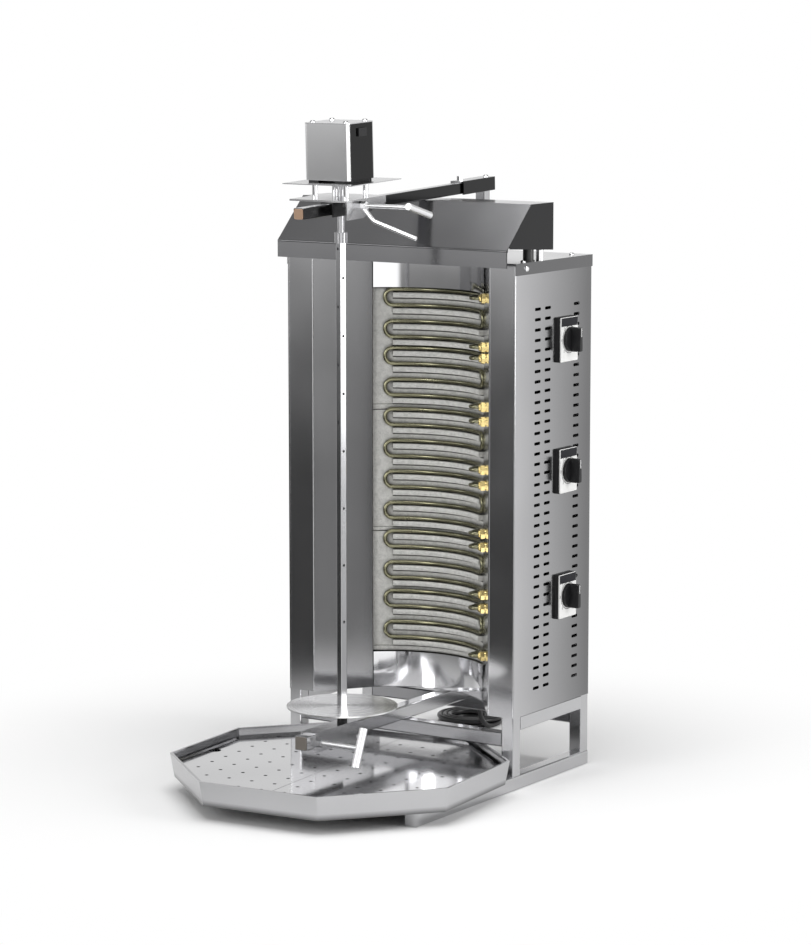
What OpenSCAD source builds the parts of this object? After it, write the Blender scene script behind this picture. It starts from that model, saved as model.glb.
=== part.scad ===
// Vertical kebab grill: an electric heater wall with a driven spit standing in front of it.
// Front is -Y, the switch side is +X, and the origin is on the ground under the middle of the front face.

/* [Housing] */
// Width of the housing and of the base
body_w = 480; // [460:5:520]
// Depth of the housing, front face to back face
body_d = 260; // [256:2:300]
// Height of the housing, from its floor to the top of its cap
body_h = 800; // [790:5:810]
// Thickness of the housing's sheet steel
sheet = 1.5; // [1:0.1:2]
// Width of the flat front strip at each side of the recess
strip_w = 53; // [48:1:58]
// Depth at which the inclined wings meet the heater wall
wing_depth = 92; // [90:1:96]
// Distance between the inner ends of the wings
wing_gap = 238; // [230:1:242]
// Depth of the recess at its middle
recess_depth = 140; // [138:1:144]
// Height of the skirt round the cap
cap_skirt = 21; // [15:1:30]

/* [Base] */
// Side of the square tubes of the base
tube_w = 25; // [22:1:25]
// Wall of every square tube
tube_wall = 2; // [1.5:0.5:3]
// Height of the housing's floor above the ground
base_h = 130; // [128:1:135]
// How far the floor tubes reach out in front of the housing
skid_reach = 308; // [280:2:340]

/* [Heater wall] */
// Height of the bright steel band under the fire bricks
low_band_h = 66; // [60:1:70]
// Height of the bright steel band over the fire bricks
high_band_h = 64; // [60:1:70]
// Thickness of a fire brick behind its ribs
brick_t = 22; // [18:1:26]
// How far the ribs of a brick stand out of its field
rib_out = 10; // [8:0.5:12]
// Height of a rib
rib_h = 9.5; // [8:0.5:11]
// Diameter of the heating tubes
heat_d = 7; // [6:0.5:8]
// Distance from one run of a heating tube to the next
heat_pitch = 28.7; // [27:0.1:30]
// Radius of the hook that each end of a heating tube makes
hook_r = 10; // [9:0.5:12]
// Size across the flats of the brass nuts at the ends of the heating tubes
gland_af = 17; // [14:1:20]

/* [Vents and switches] */
// Length of a vent slot
vent_w = 20; // [14:1:22]
// Height of a vent slot
vent_h = 5.5; // [4:0.5:7]
// Distance between the rows of vent slots
vent_pitch = 18.2; // [17:0.2:19]
// Number of rows of vent slots
vent_rows = 38; // [10:1:38]
// Width of a switch plate
plate_w = 64; // [56:1:66]
// Height of a switch plate
plate_h = 85; // [70:1:90]
// Thickness of a switch plate
plate_t = 9; // [6:1:12]
// Diameter of a switch knob
knob_d = 46; // [36:1:50]
// How far a knob stands out of its plate
knob_h = 25; // [18:1:32]

/* [Hood] */
// Height of the turned-down lip at the front of the hood
lip_h = 30; // [24:1:34]
// How far the lip stands in front of the housing
hood_reach = 30; // [24:1:36]
// Height of the lip's lower edge below the top of the cap
lip_drop = 6; // [0:1:10]
// Height of the hood's flat top over the cap
hood_h = 100; // [90:1:100]
// Distance from the front face to the rear edge of the hood
hood_back = 125; // [115:1:140]
// Distance from the front face to the fold at the top of the hood's slope
hood_fold = 50; // [44:1:60]

/* [Spit] */
// Distance from the housing to the middle of the spit
spit_y = 181; // [176:1:184]
// Side of the square spit
spit_w = 13; // [10:0.5:13]
// How far the spit is turned at rest, in degrees
spit_turn = -20; // [-45:1:45]
// Diameter of the meat disc
disc_d = 194; // [150:2:200]
// Thickness of the meat disc
disc_t = 2.5; // [2:0.5:4]
// Height of the disc's top face above the housing's floor
disc_up = 29.5; // [28.5:0.5:40]
// Distance between the skewer holes through the spit
hole_pitch = 50; // [40:1:60]
// Diameter of the skewer holes
hole_d = 5; // [4:0.5:6]
// Diameter of the drive shaft
shaft_d = 12; // [10:0.5:12.5]
// Diameter of the round pin under the spit
pin_d = 10; // [8:0.5:10]

/* [Arm] */
// Side of the upper slide bar
arm_w = 20; // [18:1:20]
// How far the middle of the upper slide bar lies beside the spit
arm_x = 18; // [18:0.5:20]
// Height of the middle of the upper slide bar over the top of the cap, at the spit
arm_up = 102; // [102:1:120]
// How far the upper slide bar hangs down to the front, in degrees
arm_droop = 2.15; // [2.1:0.05:2.6]
// How far the upper slide bar reaches out in front of the spit
arm_reach = 151; // [130:1:170]
// Diameter of both clamp screws
screw_d = 8; // [6:1:9]

/* [Motor carriage] */
// Width of the carriage plate
carriage_w = 118; // [110:1:126]
// Length of the carriage plate in front of the spit
carriage_front = 68; // [60:1:72]
// Length of the carriage plate behind the spit
carriage_back = 51; // [45:1:56]
// Thickness of the carriage plate
carriage_t = 3; // [2:0.5:4]
// Height of the pillars between the carriage plate and the heat shield
pillar_h = 25; // [20:1:32]
// Width of the heat shield
shield_w = 144; // [120:1:160]
// Length of the heat shield
shield_l = 150; // [140:1:160]
// Width of the motor's cover
motor_w = 92; // [88:1:100]
// Length of the motor's cover, front to back
motor_l = 82; // [80:1:90]
// Height of the motor's cover
motor_h = 96; // [90:1:120]

/* [Lower carriage] */
// Length of the sleeve that slides on the lower bar
sleeve_l = 125; // [110:1:126]
// Thickness of the sleeve
sleeve_t = 3; // [2:0.5:3]
// How far the sleeve reaches down below the top of the lower bar
sleeve_drop = 32; // [24:1:32]
// How far the lower bar reaches out in front of the housing
low_reach = 306; // [296:1:320]

/* [Drip tray] */
// Distance from the middle of the tray to each of its eight corners
tray_r = 300; // [284:1:300]
// How much smaller the floor of the tray is than its rim, at each corner
tray_taper = 8; // [2:1:10]
// Height of the tray's rim
tray_h = 43; // [34:1:46]
// How far the tray is turned, in degrees
tray_turn = 4.8; // [0:0.2:6]
// How far the perforated plates lie below the rim
plate_drop = 13; // [6:1:15]
// Diameter of the drain holes in the perforated plates
drain_d = 7; // [4:0.5:8]
// Distance between the drain holes
drain_pitch = 45.5; // [42:0.5:60]

/* [Cord] */
// Diameter of the mains cord
cord_d = 9; // [8:0.5:9]
// Diameter of the coil at the middle of its turns
coil_d = 104; // [100:1:108]
// Clear gap between neighbouring turns of the coil
coil_gap = 0.7; // [0.6:0.1:1]
// Height at which the cord leaves the housing, above its floor
cord_up = 35; // [30:1:50]

/* [Fittings] */
// Size across the flats of the hexagon nuts and bolts
bolt_af = 13; // [11:1:14]
// Height of the hexagon nuts and bolt heads
bolt_h = 7; // [6:0.5:8]
// Diameter of the round screw heads
head_d = 10; // [8:0.5:11]
// Height of the round screw heads
head_h = 3.5; // [2.5:0.5:4]
// Diameter of the cross handles
handle_d = 12; // [10:0.5:13]
// Length of the cross handles
handle_l = 69; // [56:1:69]
// Clearance beside a piece that slides
slide_gap = 0.3; // [0.2:0.1:0.5]
// Radial clearance of a pin that turns
turn_gap = 0.08; // [0.04:0.01:0.1]

/* [Hidden] */

$fn = 24;
cut = 1; // how far a cutting shape runs past the piece
hole_play = 1; // how much wider a hole in a sheet is than what passes through it
tip_gap = 0.2; // play between the end of a clamp screw and its bar
corner_r = 2.5; // rounding of the square tubes
half_w = body_w / 2;
top_z = base_h + body_h; // top of the cap
bar_drop = 3; // from the housing's floor down to the top of the lower slide bar
bar_top = base_h - bar_drop;
cross_z = bar_top - tube_w; // top of the two cross tubes

// The recess is a circular arc between the inner ends of the wings.
sag = recess_depth - wing_depth;
arc_r = (wing_gap * wing_gap / 4 + sag * sag) / (2 * sag);
arc_y = recess_depth - arc_r;
arc_half = asin(wing_gap / 2 / arc_r);
brick_play = 0.6; // degrees that stay open beside the bricks
brick_half = arc_half - brick_play;
wing_x = half_w - strip_w; // outer end of the wings
wing_end = [wing_gap / 2, wing_depth];
wing_along = unit([wing_x, 0] - wing_end); // from the inner end of the right wing to the outer one
wing_face = [wing_along.y, -wing_along.x]; // out of the right wing, into the recess

// Vent slots: height of the first row, and front ends of the three columns as shares.
vent_inset = 84; // from the top of the cap
vent_top = top_z - vent_inset;
vent_shares = [0.254, 0.3846, 0.7654]; // of the housing's depth
vent_corner = 1.6; // the slots have cut-off corners

// Fire bricks and heating tubes.
bricks_top = top_z - high_band_h;
bricks_low = base_h + low_band_h;
bricks_h = bricks_top - bricks_low;
rib_tip = 3.5; // the ribs stand this far in front of the recess arc
field_r = arc_r - rib_tip + rib_out;
heat_back = 0.5; // the runs lie this far behind the recess arc
heat_r = arc_r + heat_back;
heater_shares = [0.0701, 0.2284, 0.3955, 0.5657, 0.7299, 0.8948]; // middle of each heating tube
rib_left = -31.4; // degrees from the middle, as seen from the front
rib_right = 38;
bend_left = -31.5; // where the runs turn back
bend_right = 36.2;
hook_at = 38; // where the end runs leave the arc
join_r = 30; // bend from the arc to the hook
gland_h = 10; // height of a brass nut
stub_in = 12; // how far the tube ends reach in behind the wing
gland_along = 45.5; // from the inner end of the wing to the brass nuts
turn_deg = heat_pitch / 2 / heat_r * 180 / PI; // half a pitch, as an angle on the arc
run_steps = 6;
turn_steps = 4;
gland_at = wing_end + gland_along * wing_along;
join_at = [heat_r * sin(hook_at), arc_y + heat_r * cos(hook_at)];
join_c = join_at - join_r * [sin(hook_at), cos(hook_at)];
hook_reach = (join_c.x + join_r + hook_r * (1 + wing_along.x) - gland_at.x) / wing_face.x;
hook_c = gland_at + hook_reach * wing_face - hook_r * wing_along;

// The mast stands inside the housing, close to its back panel.
mast_back = 12; // from the back face to the middle of the mast
mast_y = body_d - mast_back;
mast_play = 1; // room round the mast in the sheets that it passes

// The upper slide bar and all that it carries is drawn in its own tilted frame.
arm_z = top_z + arm_up;
arm_over = 5; // the bar ends this far behind the housing
arm_back = spit_y + body_d + arm_over;
bracket_t = 3;
bracket_l = 106;
bracket_over = 3; // the bracket reaches this far behind the bar
bracket_v = arm_back + bracket_over - bracket_l; // front end of the bracket
guide_t = 2.5;
guide_top = arm_w / 2 + guide_t;
shield_w0 = guide_top + carriage_t + pillar_h; // underside of the heat shield
pad_h = 4; // black pads under the motor
cover_w0 = shield_w0 + sheet + pad_h; // lower edge of the motor's cover
screw_v = -carriage_front / 2; // place of the upper clamp screw, along the bar and above its middle
screw_w = 5.5;
weld_nut_h = 8; // height of the nuts welded to the carriages
flange_x = carriage_w / 2;
motor_r = 8; // rounding of the motor's cover

gearbox_h = 32;
shaft_up = shield_w0 + sheet + pad_h + gearbox_h * 2 / 3; // top of the drive shaft, above the bar
socket_w = 24; // the motor's socket
socket_h = 14;
socket_drop = 8;

// The spit and the pieces on its axis.
disc_z = base_h + disc_up; // top face of the meat disc
pin_up = 2; // lower end of the pin above the housing's floor
pin_low = base_h + pin_up;
bearing_up = 9;
bearing_top = base_h + bearing_up;
spit_gap = 2; // between the bearing and the square part of the spit
spit_low = bearing_top + spit_gap;
coupling_up = 38;
coupling_z = top_z + coupling_up;
coupling_h = 18;

// The lower carriage.
sleeve_behind = 21; // the sleeve reaches this far behind the spit
sleeve_front = sleeve_behind - spit_y - sleeve_l;
sleeve_x = tube_w / 2 + slide_gap + sleeve_t;
low_screw_in = 11; // from the front end of the sleeve
low_screw_y = sleeve_front + low_screw_in;
low_screw_drop = 2; // under the middle of the bar
low_screw_z = bar_top - tube_w / 2 - low_screw_drop;

// Place of the drip tray, and the middle of the whole grill without its cord.
tray_ahead = 6; // the middle of the tray lies this far in front of the spit
tray_y = -spit_y - tray_ahead;
tray_x = -3; // it stands a little to the left
half_side = 22.5; // degrees from a corner of the tray to the middle of a side
gland_l = 30; // the strain relief is the rearmost piece
tray_reach = tray_r * cos(half_side - tray_turn);
middle = [tray_x, (body_d + gland_l + tray_y - tray_reach) / 2];

// The cord leaves the back, drops to the ground and lies there in a coil of two layers.
turn_pitch = cord_d + coil_gap;
layer_turns = 3;
coil_r_out = coil_d / 2 + turn_pitch; // middle of the outer turn
coil_side = 126; // from the middle of the housing to the middle of the coil
coil_behind = 176;
coil_at = [-coil_side, body_d + coil_behind];
cord_x = coil_at.x + coil_r_out;
cord_z = base_h + cord_up;
cord_out = body_d + gland_l; // end of the strain relief
bend_r = 5 * cord_d; // bends of the free cord
level_l = 8; // straight stretch on the ground before the coil
low_turn_y = coil_at.y - cord_d - level_l;
low_z = cord_d / 2;
high_z = low_z + turn_pitch;
plug_w = 38;
plug_l = 40;

// Colours as the photograph shows them.
steel = [0.62, 0.62, 0.63];
dark_steel = [0.36, 0.36, 0.37];
bright = [0.82, 0.82, 0.83];
clay = [0.74, 0.73, 0.7];
heat_tint = [0.3, 0.3, 0.24];
brass = [0.82, 0.68, 0.3];
black = [0.06, 0.06, 0.06];
tan_brown = [0.55, 0.46, 0.38];

// ---------- Small geometry helpers ----------

function unit(v) = v / norm(v);

function normal(v) = [-v.y, v.x];

// Points of a circular arc.
function arc_points(c, r, from, to, steps) =
    [for (i = [0:steps]) let (a = from + (to - from) * i / steps) c + r * [cos(a), sin(a)]];

// Outline of a rectangle with round corners, its middle at the origin.
function round_box(w, d, r, steps = 3) = concat(
    arc_points([w / 2 - r, d / 2 - r], r, 0, 90, steps),
    arc_points([r - w / 2, d / 2 - r], r, 90, 180, steps),
    arc_points([r - w / 2, r - d / 2], r, 180, 270, steps),
    arc_points([w / 2 - r, r - d / 2], r, 270, 360, steps)
);

// How far the far side of a bent sheet lies from its point i.
function mitre(p, i, t) = let (
    a = i == 0 ? unit(p[1] - p[0]) : unit(p[i] - p[i - 1]),
    b = i == len(p) - 1 ? a : unit(p[i + 1] - p[i]),
    m = normal(a) + normal(b)
) t * m / (1 + normal(a) * normal(b));

// Outline of a sheet of thickness t that follows the points, on their left side.
function bent(p, t) = concat(p, [for (i = [len(p) - 1:-1:0]) p[i] + mitre(p, i, t)]);

// Direction of a path at each of its points.
function headings(p) =
    [for (i = [0:len(p) - 1]) unit(p[min(i + 1, len(p) - 1)] - p[max(i - 1, 0)])];

// Side directions carried along a path without twist.
function carried(t, n, i = 0) = i == len(t) ? [] :
    let (m = unit(n - (n * t[i]) * t[i])) concat([m], carried(t, m, i + 1));

// A round tube or cord through the points of a path.
module swept(path, d, sides, first) {
    t = headings(path);
    n = carried(t, first);
    last = len(path) - 1;
    rings = [for (i = [0:last], k = [0:sides - 1])
        path[i] + d / 2 * (cos(360 * k / sides) * n[i] + sin(360 * k / sides) * cross(t[i], n[i]))];
    walls = [for (i = [0:last - 1], k = [0:sides - 1])
        let (a = i * sides + k, b = i * sides + (k + 1) % sides)
        each [[a, b + sides, b], [a, a + sides, b + sides]]];
    ends = [[for (k = [0:sides - 1]) k], [for (k = [sides - 1:-1:0]) last * sides + k]];
    polyhedron(rings, concat(walls, ends), convexity = 10);
}

// A square tube standing on the origin, open at both ends.
module square_tube(side, length, wall = tube_wall) {
    linear_extrude(length) difference() {
        polygon(round_box(side, side, corner_r));
        square(side - 2 * wall, center = true);
    }
}

// The same tube lying along Y, from y = 0 backwards.
module lying_tube(side, length) {
    rotate([-90, 0, 0]) square_tube(side, length);
}

// A hexagon nut or bolt head standing on the origin.
module hexagon(af, h) {
    cylinder(d = af / cos(30), h = h, $fn = 6);
}

// A round screw head with a softened rim, standing on the origin.
module pan_head() {
    rotate_extrude($fn = 16) polygon([
        [0, 0], [head_d / 2, 0], [head_d / 2, head_h / 3],
        [head_d * 0.42, head_h * 0.75], [head_d / 4, head_h], [0, head_h]
    ]);
}

// Part of a ring round the middle of the recess, between two angles seen from the front.
module ring_part(r_in, r_out, h, left, right) {
    translate([0, arc_y, 0])
        rotate_extrude(angle = right - left, start = 90 - right, $fn = 60)
            translate([r_in, 0]) square([r_out - r_in, h]);
}

// Puts its children in the frame of the upper slide bar: origin at the spit, X across, Y along the bar.
module on_arm() {
    translate([0, -spit_y, arm_z]) rotate([arm_droop, 0, 0]) children();
}

// Moves a finished piece so that the origin is on the ground, under the middle of the whole grill.
module place() {
    translate([-middle.x, -middle.y, 0]) children();
}

// Puts its children at both sides of the part.
module both_sides() {
    children();
    mirror([1, 0, 0]) children();
}

// ---------- Base ----------

module skid() {
    translate([half_w - tube_w / 2, -skid_reach, tube_w / 2]) lying_tube(tube_w, skid_reach + body_d);
}

module skid_left() {
    place() color(steel) mirror([1, 0, 0]) skid();
}

module skid_right() {
    place() color(steel) skid();
}

module posts() {
    place() color(steel) both_sides() for (y = [tube_w / 2, body_d - tube_w / 2])
        translate([half_w - tube_w / 2, y, tube_w]) square_tube(tube_w, base_h - tube_w);
}

module side_rails() {
    place() color(steel) both_sides() translate([half_w - tube_w / 2, tube_w, base_h - tube_w / 2])
        lying_tube(tube_w, body_d - 2 * tube_w);
}

module cross_tube(y) {
    translate([tube_w - half_w, y, cross_z - tube_w / 2]) rotate([0, 90, 0])
        square_tube(tube_w, body_w - 2 * tube_w);
}

module cross_front() {
    place() color(steel) cross_tube(tube_w / 2);
}

module cross_rear() {
    place() color(steel) cross_tube(body_d - tube_w / 2);
}

// A plug that closes the front end of a square tube lying along Y.
module end_plug(side) {
    depth = side - 2 * tube_wall;
    translate([-depth / 2, 0, -depth / 2]) cube([depth, tube_w / 2, depth]);
}

module end_plugs() {
    place() color(steel) both_sides() for (y = [-skid_reach, body_d - tube_w / 2])
        translate([half_w - tube_w / 2, y, tube_w / 2]) end_plug(tube_w);
    place() color(steel) translate([0, -low_reach, bar_top - tube_w / 2]) end_plug(tube_w);
    place() color(tan_brown) on_arm() translate([arm_x, -arm_reach, 0]) end_plug(arm_w);
}

// ---------- Housing ----------

module mast_hole(h) {
    side = arm_w + 2 * mast_play;
    translate([arm_x, mast_y, h / 2]) cube([side, side, h + 2 * cut], center = true);
}

// The floor follows the recess, so that the view is open down to the ground in front of the bricks.
module floor_panel() {
    recess_steps = 16;
    place() color(dark_steel) translate([0, 0, base_h]) difference() {
        linear_extrude(sheet) polygon(concat(
            [[half_w, 0], [half_w, body_d], [-half_w, body_d], [-half_w, 0], [-wing_x, 0]],
            arc_points([0, arc_y], arc_r, 90 + arc_half, 90 - arc_half, recess_steps),
            [[wing_x, 0]]
        ));
        mast_hole(sheet);
    }
}

// Side wall, front strip and inclined wing, bent from one sheet; drawn for the right side.
module side_sheet() {
    linear_extrude(body_h - 2 * sheet) polygon(bent(
        [wing_end, [wing_x, 0], [half_w, 0], [half_w, body_d - sheet]], sheet
    ));
}

module vents() {
    for (share = vent_shares, i = [0:vent_rows - 1])
        translate([half_w - sheet - cut, body_d * share + vent_w / 2, vent_top - i * vent_pitch])
            rotate([90, 0, 90]) linear_extrude(sheet + 2 * cut)
                polygon(round_box(vent_w, vent_h, vent_corner, 1));
}

// Height of the middle of heating tube i, counted from the top.
function heater_z(i) = bricks_top - bricks_h * heater_shares[i];

// Heights at which the tube ends pass through the right wing.
function gland_zs() = [for (i = [0:5], s = [3, -3]) heater_z(i) + s * heat_pitch / 2];

// Puts its children on the right wing at every tube end, their Z axis pointing into the recess.
module at_glands() {
    for (z = gland_zs()) translate([gland_at.x, gland_at.y, z])
        rotate([0, 0, atan2(wing_face.y, wing_face.x)]) rotate([0, 90, 0]) children();
}

module side_left() {
    place() color(steel) difference() {
        translate([0, 0, base_h + sheet]) mirror([1, 0, 0]) side_sheet();
        mirror([1, 0, 0]) vents();
    }
}

module side_right() {
    place() color(steel) difference() {
        translate([0, 0, base_h + sheet]) side_sheet();
        vents();
        at_glands() translate([0, 0, -sheet - cut])
            cylinder(d = heat_d + hole_play, h = sheet + 2 * cut, $fn = 8);
        at_switches() translate([0, 0, -sheet - cut])
            cylinder(d = neck_d + hole_play, h = sheet + 2 * cut);
    }
}

module back_panel() {
    place() color(steel) difference() {
        translate([-half_w, body_d - sheet, base_h + sheet])
            cube([body_w, sheet, body_h - 2 * sheet]);
        translate([cord_x, body_d - sheet - cut, cord_z]) rotate([-90, 0, 0])
            cylinder(d = gland_thread_d + hole_play, h = sheet + 2 * cut);
    }
}

module cap() {
    place() color(dark_steel) difference() {
        translate([-half_w - sheet, 0, top_z - cap_skirt])
            cube([body_w + 2 * sheet, body_d + sheet, cap_skirt]);
        translate([-half_w, -cut, top_z - cap_skirt - cut])
            cube([body_w, body_d + cut, cap_skirt - sheet + cut]);
        translate([0, 0, top_z - sheet]) mast_hole(sheet);
    }
}

// The two bright bands are bent to the recess arc and carry a flange that meets the bricks.
module band_low() {
    place() color(bright) translate([0, 0, base_h + sheet]) union() {
        ring_part(arc_r, arc_r + sheet, low_band_h - sheet, -brick_half, brick_half);
        translate([0, 0, low_band_h - 2 * sheet])
            ring_part(arc_r, field_r + brick_t, sheet, -brick_half, brick_half);
    }
}

module band_high() {
    place() color(bright) translate([0, 0, bricks_top]) union() {
        ring_part(arc_r, arc_r + sheet, high_band_h - sheet, -brick_half, brick_half);
        ring_part(arc_r, field_r + brick_t, sheet, -brick_half, brick_half);
    }
}

// ---------- Heater wall ----------

// Fire brick i, counted from the top: a curved field with a rib under every run of its two tubes.
module brick(i) {
    rib_gap = 2; // from a tube down to its rib
    rib_drop = heat_d / 2 + rib_gap + rib_h; // from the middle of a run to the lower edge of its rib
    low = bricks_top - (i + 1) * bricks_h / 3;
    place() color(clay) union() {
        translate([0, 0, low])
            ring_part(field_r, field_r + brick_t, bricks_h / 3, -brick_half, brick_half);
        for (t = [2 * i, 2 * i + 1], s = [-3, -1, 1, 3])
            translate([0, 0, max(low, heater_z(t) + s * heat_pitch / 2 - rib_drop)])
                ring_part(arc_r - rib_tip, field_r + cut, rib_h, rib_left, rib_right);
    }
}

module brick_top() {
    brick(0);
}

module brick_middle() {
    brick(1);
}

module brick_bottom() {
    brick(2);
}

// A point of the tube's middle line on the arc, at an angle seen from the front.
function on_arc(a, z) = [heat_r * sin(a), arc_y + heat_r * cos(a), z];

// One run along the arc.
function run(from, to, z) = [for (i = [0:run_steps]) on_arc(from + (to - from) * i / run_steps, z)];

// The bend from a run to the next lower one; side is 1 at the right end and -1 at the left end.
function bend(at, z, side) = [for (i = [1:turn_steps]) let (f = 180 * i / (turn_steps + 1))
    on_arc(at + side * sin(f) * turn_deg, z - heat_pitch / 2 * (1 - cos(f)))];

// The end of a tube: out of the brass nut, round the hook and back to the arc.
function hook(z) = [for (p = concat(
    [gland_at - stub_in * wing_face],
    arc_points(hook_c, hook_r, atan2(wing_along.y, wing_along.x), -180, 4),
    arc_points(join_c, join_r, 0, 90 - hook_at, 3)
)) [p.x, p.y, z]];

function backwards(p) = [for (i = [len(p) - 1:-1:0]) p[i]];

function trimmed(p) = [for (i = [1:len(p) - 2]) p[i]];

// The whole middle line of a heating tube: four runs, three bends and two hooks.
function heater_path(z) = let (
    a = z + 3 * heat_pitch / 2,
    b = z + heat_pitch / 2,
    c = z - heat_pitch / 2,
    d = z - 3 * heat_pitch / 2
) concat(
    hook(a), trimmed(run(hook_at, bend_left, a)), [on_arc(bend_left, a)], bend(bend_left, a, -1),
    run(bend_left, bend_right, b), bend(bend_right, b, 1),
    run(bend_right, bend_left, c), bend(bend_left, c, -1),
    [on_arc(bend_left, d)], trimmed(run(bend_left, hook_at, d)), backwards(hook(d))
);

module heater(i) {
    place() color(heat_tint) swept(heater_path(heater_z(i)), heat_d, 6, [0, 0, 1]);
}

module heaters_top() {
    heater(0);
    heater(1);
}

module heaters_middle() {
    heater(2);
    heater(3);
}

module heaters_bottom() {
    heater(4);
    heater(5);
}

module heater_nuts() {
    place() color(brass) at_glands() difference() {
        hexagon(gland_af, gland_h);
        translate([0, 0, -cut]) cylinder(d = heat_d + turn_gap, h = gland_h + 2 * cut, $fn = 24);
    }
}

// ---------- Hood ----------

lip_low = top_z - lip_drop;
hood_top = top_z + hood_h;
side_up_front = 27; // lower edge of the hood's sides over the cap, front and back
side_up_back = 17;
side_low_front = top_z + side_up_front;
side_low_back = top_z + side_up_back;
hood_inset = 0.5; // the hood is this much narrower than the cap at each side
hood_w = body_w + 2 * sheet - 2 * hood_inset;

// Lower edge of the hood's sides at depth y.
function side_edge(y) = side_low_front
    + (side_low_back - side_low_front) * (y + hood_reach) / (hood_back + hood_reach);

side_in = 10; // the hood's sides start this far behind its lip
side_front = side_in - hood_reach;

module hood() {
    outline = [
        [hood_back, side_low_back], [hood_back, hood_top], [hood_fold, hood_top],
        [-hood_reach, lip_low + lip_h], [-hood_reach, lip_low]
    ];
    inner = [for (i = [0:4]) outline[i] + mitre(outline, i, sheet)];
    slope = (inner[3] - inner[2]) / (inner[3].x - inner[2].x);
    place() color(dark_steel) translate([-hood_w / 2, 0, 0]) rotate([90, 0, 90]) union() {
        linear_extrude(hood_w) polygon(bent(outline, sheet));
        for (x = [0, hood_w - sheet]) translate([0, 0, x]) linear_extrude(sheet) polygon([
            inner[0], inner[1], inner[2], inner[2] + (side_front - inner[2].x) * slope,
            [side_front, side_edge(side_front)]
        ]);
    }
}

stay_d = 19;
stay_back = 10; // from the fold of the hood to the middle of its posts
stay_y = hood_fold + stay_back;
stay_x = hood_w / 2 - sheet - stay_d / 2 - hood_inset;
stay_foot_d = 23;
stay_foot_h = 2.5;

// Two round rubber posts, each with a tab that is fixed to the side of the hood.
module hood_posts() {
    tab = [stay_d / 2 + hood_inset, 12, 22];
    post_h = side_up_front + tab.z;
    place() color(black) both_sides() translate([stay_x, stay_y, top_z]) union() {
        cylinder(d = stay_d, h = post_h);
        cylinder(d = stay_foot_d, h = stay_foot_h);
        translate([0, -tab.y / 2, post_h - tab.z]) cube(tab);
    }
}

spacer_d = 14;
spacer_back = 41; // from the fold of the hood to the middle of the spacers

module hood_spacers() {
    y = hood_fold + spacer_back;
    place() color(bright) both_sides() translate([hood_w / 2 - spacer_d / 2, y, top_z])
        cylinder(d = spacer_d, h = side_edge(y + spacer_d / 2) - top_z);
}

module cap_screws() {
    inset = 26;
    place() color(bright) union() {
        both_sides() translate([stay_x, stay_y - stay_foot_d / 2 - head_d * 0.55, top_z]) pan_head();
        both_sides() translate([half_w + sheet, hood_fold - 3 / 2 * head_d, top_z - cap_skirt / 2])
            rotate([0, 90, 0]) pan_head();
        both_sides() translate([half_w - inset, body_d - inset, top_z]) pan_head();
        for (x = [-half_w + inset, half_w - inset], z = [base_h + inset, top_z - 2 * inset])
            translate([x, body_d, z]) rotate([-90, 0, 0]) pan_head();
    }
}

// ---------- Switches ----------

switch_share = 0.654; // of the housing's depth
switch_y = body_d * switch_share;
neck_d = 20;
spindle_d = 6;
switch_shares = [0.18, 0.4725, 0.755]; // heights of the three switches, down from the cap

function switch_z(i) = top_z - body_h * switch_shares[i];

// Puts its children on the right side wall at a switch, their Z axis pointing out.
module at_switch(i) {
    translate([half_w, switch_y, switch_z(i)]) rotate([0, 90, 0]) children();
}

module at_switches() {
    for (i = [0:2]) at_switch(i) children();
}

module switch_bodies() {
    case_w = 50;
    case_h = 44;
    place() color(black) at_switches() difference() {
        union() {
            translate([-case_w / 2, -case_w / 2, -case_h - sheet]) cube([case_w, case_w, case_h]);
            translate([0, 0, -sheet - cut]) cylinder(d = neck_d, h = sheet + cut);
        }
        translate([0, 0, -case_h / 2]) cylinder(d = spindle_d + 2 * turn_gap, h = case_h);
    }
}

module switch_plates() {
    corner = 4;
    place() color(bright) at_switches() difference() {
        linear_extrude(plate_t) polygon(round_box(plate_h, plate_w, corner));
        translate([0, 0, -cut]) cylinder(d = neck_d, h = plate_t + 2 * cut);
    }
}

// A rotary knob with a pointer grip, and its spindle.
module knob(i) {
    skirt_h = 6;
    grip_w = 11;
    grip_in = 1.5; // the grip ends this far inside the rim of the skirt
    grip_r = 4;
    spindle_l = 18;
    place() color(black) at_switch(i) translate([0, 0, plate_t]) union() {
        cylinder(d = knob_d, h = skirt_h);
        linear_extrude(knob_h) polygon(round_box(knob_d - 2 * grip_in, grip_w, grip_r));
        translate([0, 0, -spindle_l - plate_t]) cylinder(d = spindle_d, h = spindle_l + plate_t + cut);
    }
}

module knob_top() {
    knob(0);
}

module knob_middle() {
    knob(1);
}

module knob_bottom() {
    knob(2);
}

// ---------- Mast and arm ----------

module mast() {
    place() color(steel) difference() {
        translate([arm_x, mast_y, cross_z]) square_tube(arm_w, arm_z + tube_w - cross_z);
        on_arm() translate([arm_x - arm_w, 0, -arm_w / 2])
            cube([2 * arm_w, 2 * arm_back, 4 * arm_w]);
    }
}

module arm_bar() {
    place() color(steel) on_arm() translate([arm_x, -arm_reach, 0]) lying_tube(arm_w, arm_reach + arm_back);
}

// A channel over the bar and the top of the mast, held by two bolts.
module arm_bracket() {
    inner = arm_w + 2 * mast_play;
    drop = arm_w + mast_play;
    place() color(steel) on_arm() translate([arm_x, bracket_v, 0]) difference() {
        translate([-inner / 2 - bracket_t, 0, arm_w / 2 - drop])
            cube([inner + 2 * bracket_t, bracket_l, drop + bracket_t]);
        translate([-inner / 2, -cut, arm_w / 2 - drop - cut])
            cube([inner, bracket_l + 2 * cut, drop + cut]);
    }
}

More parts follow.
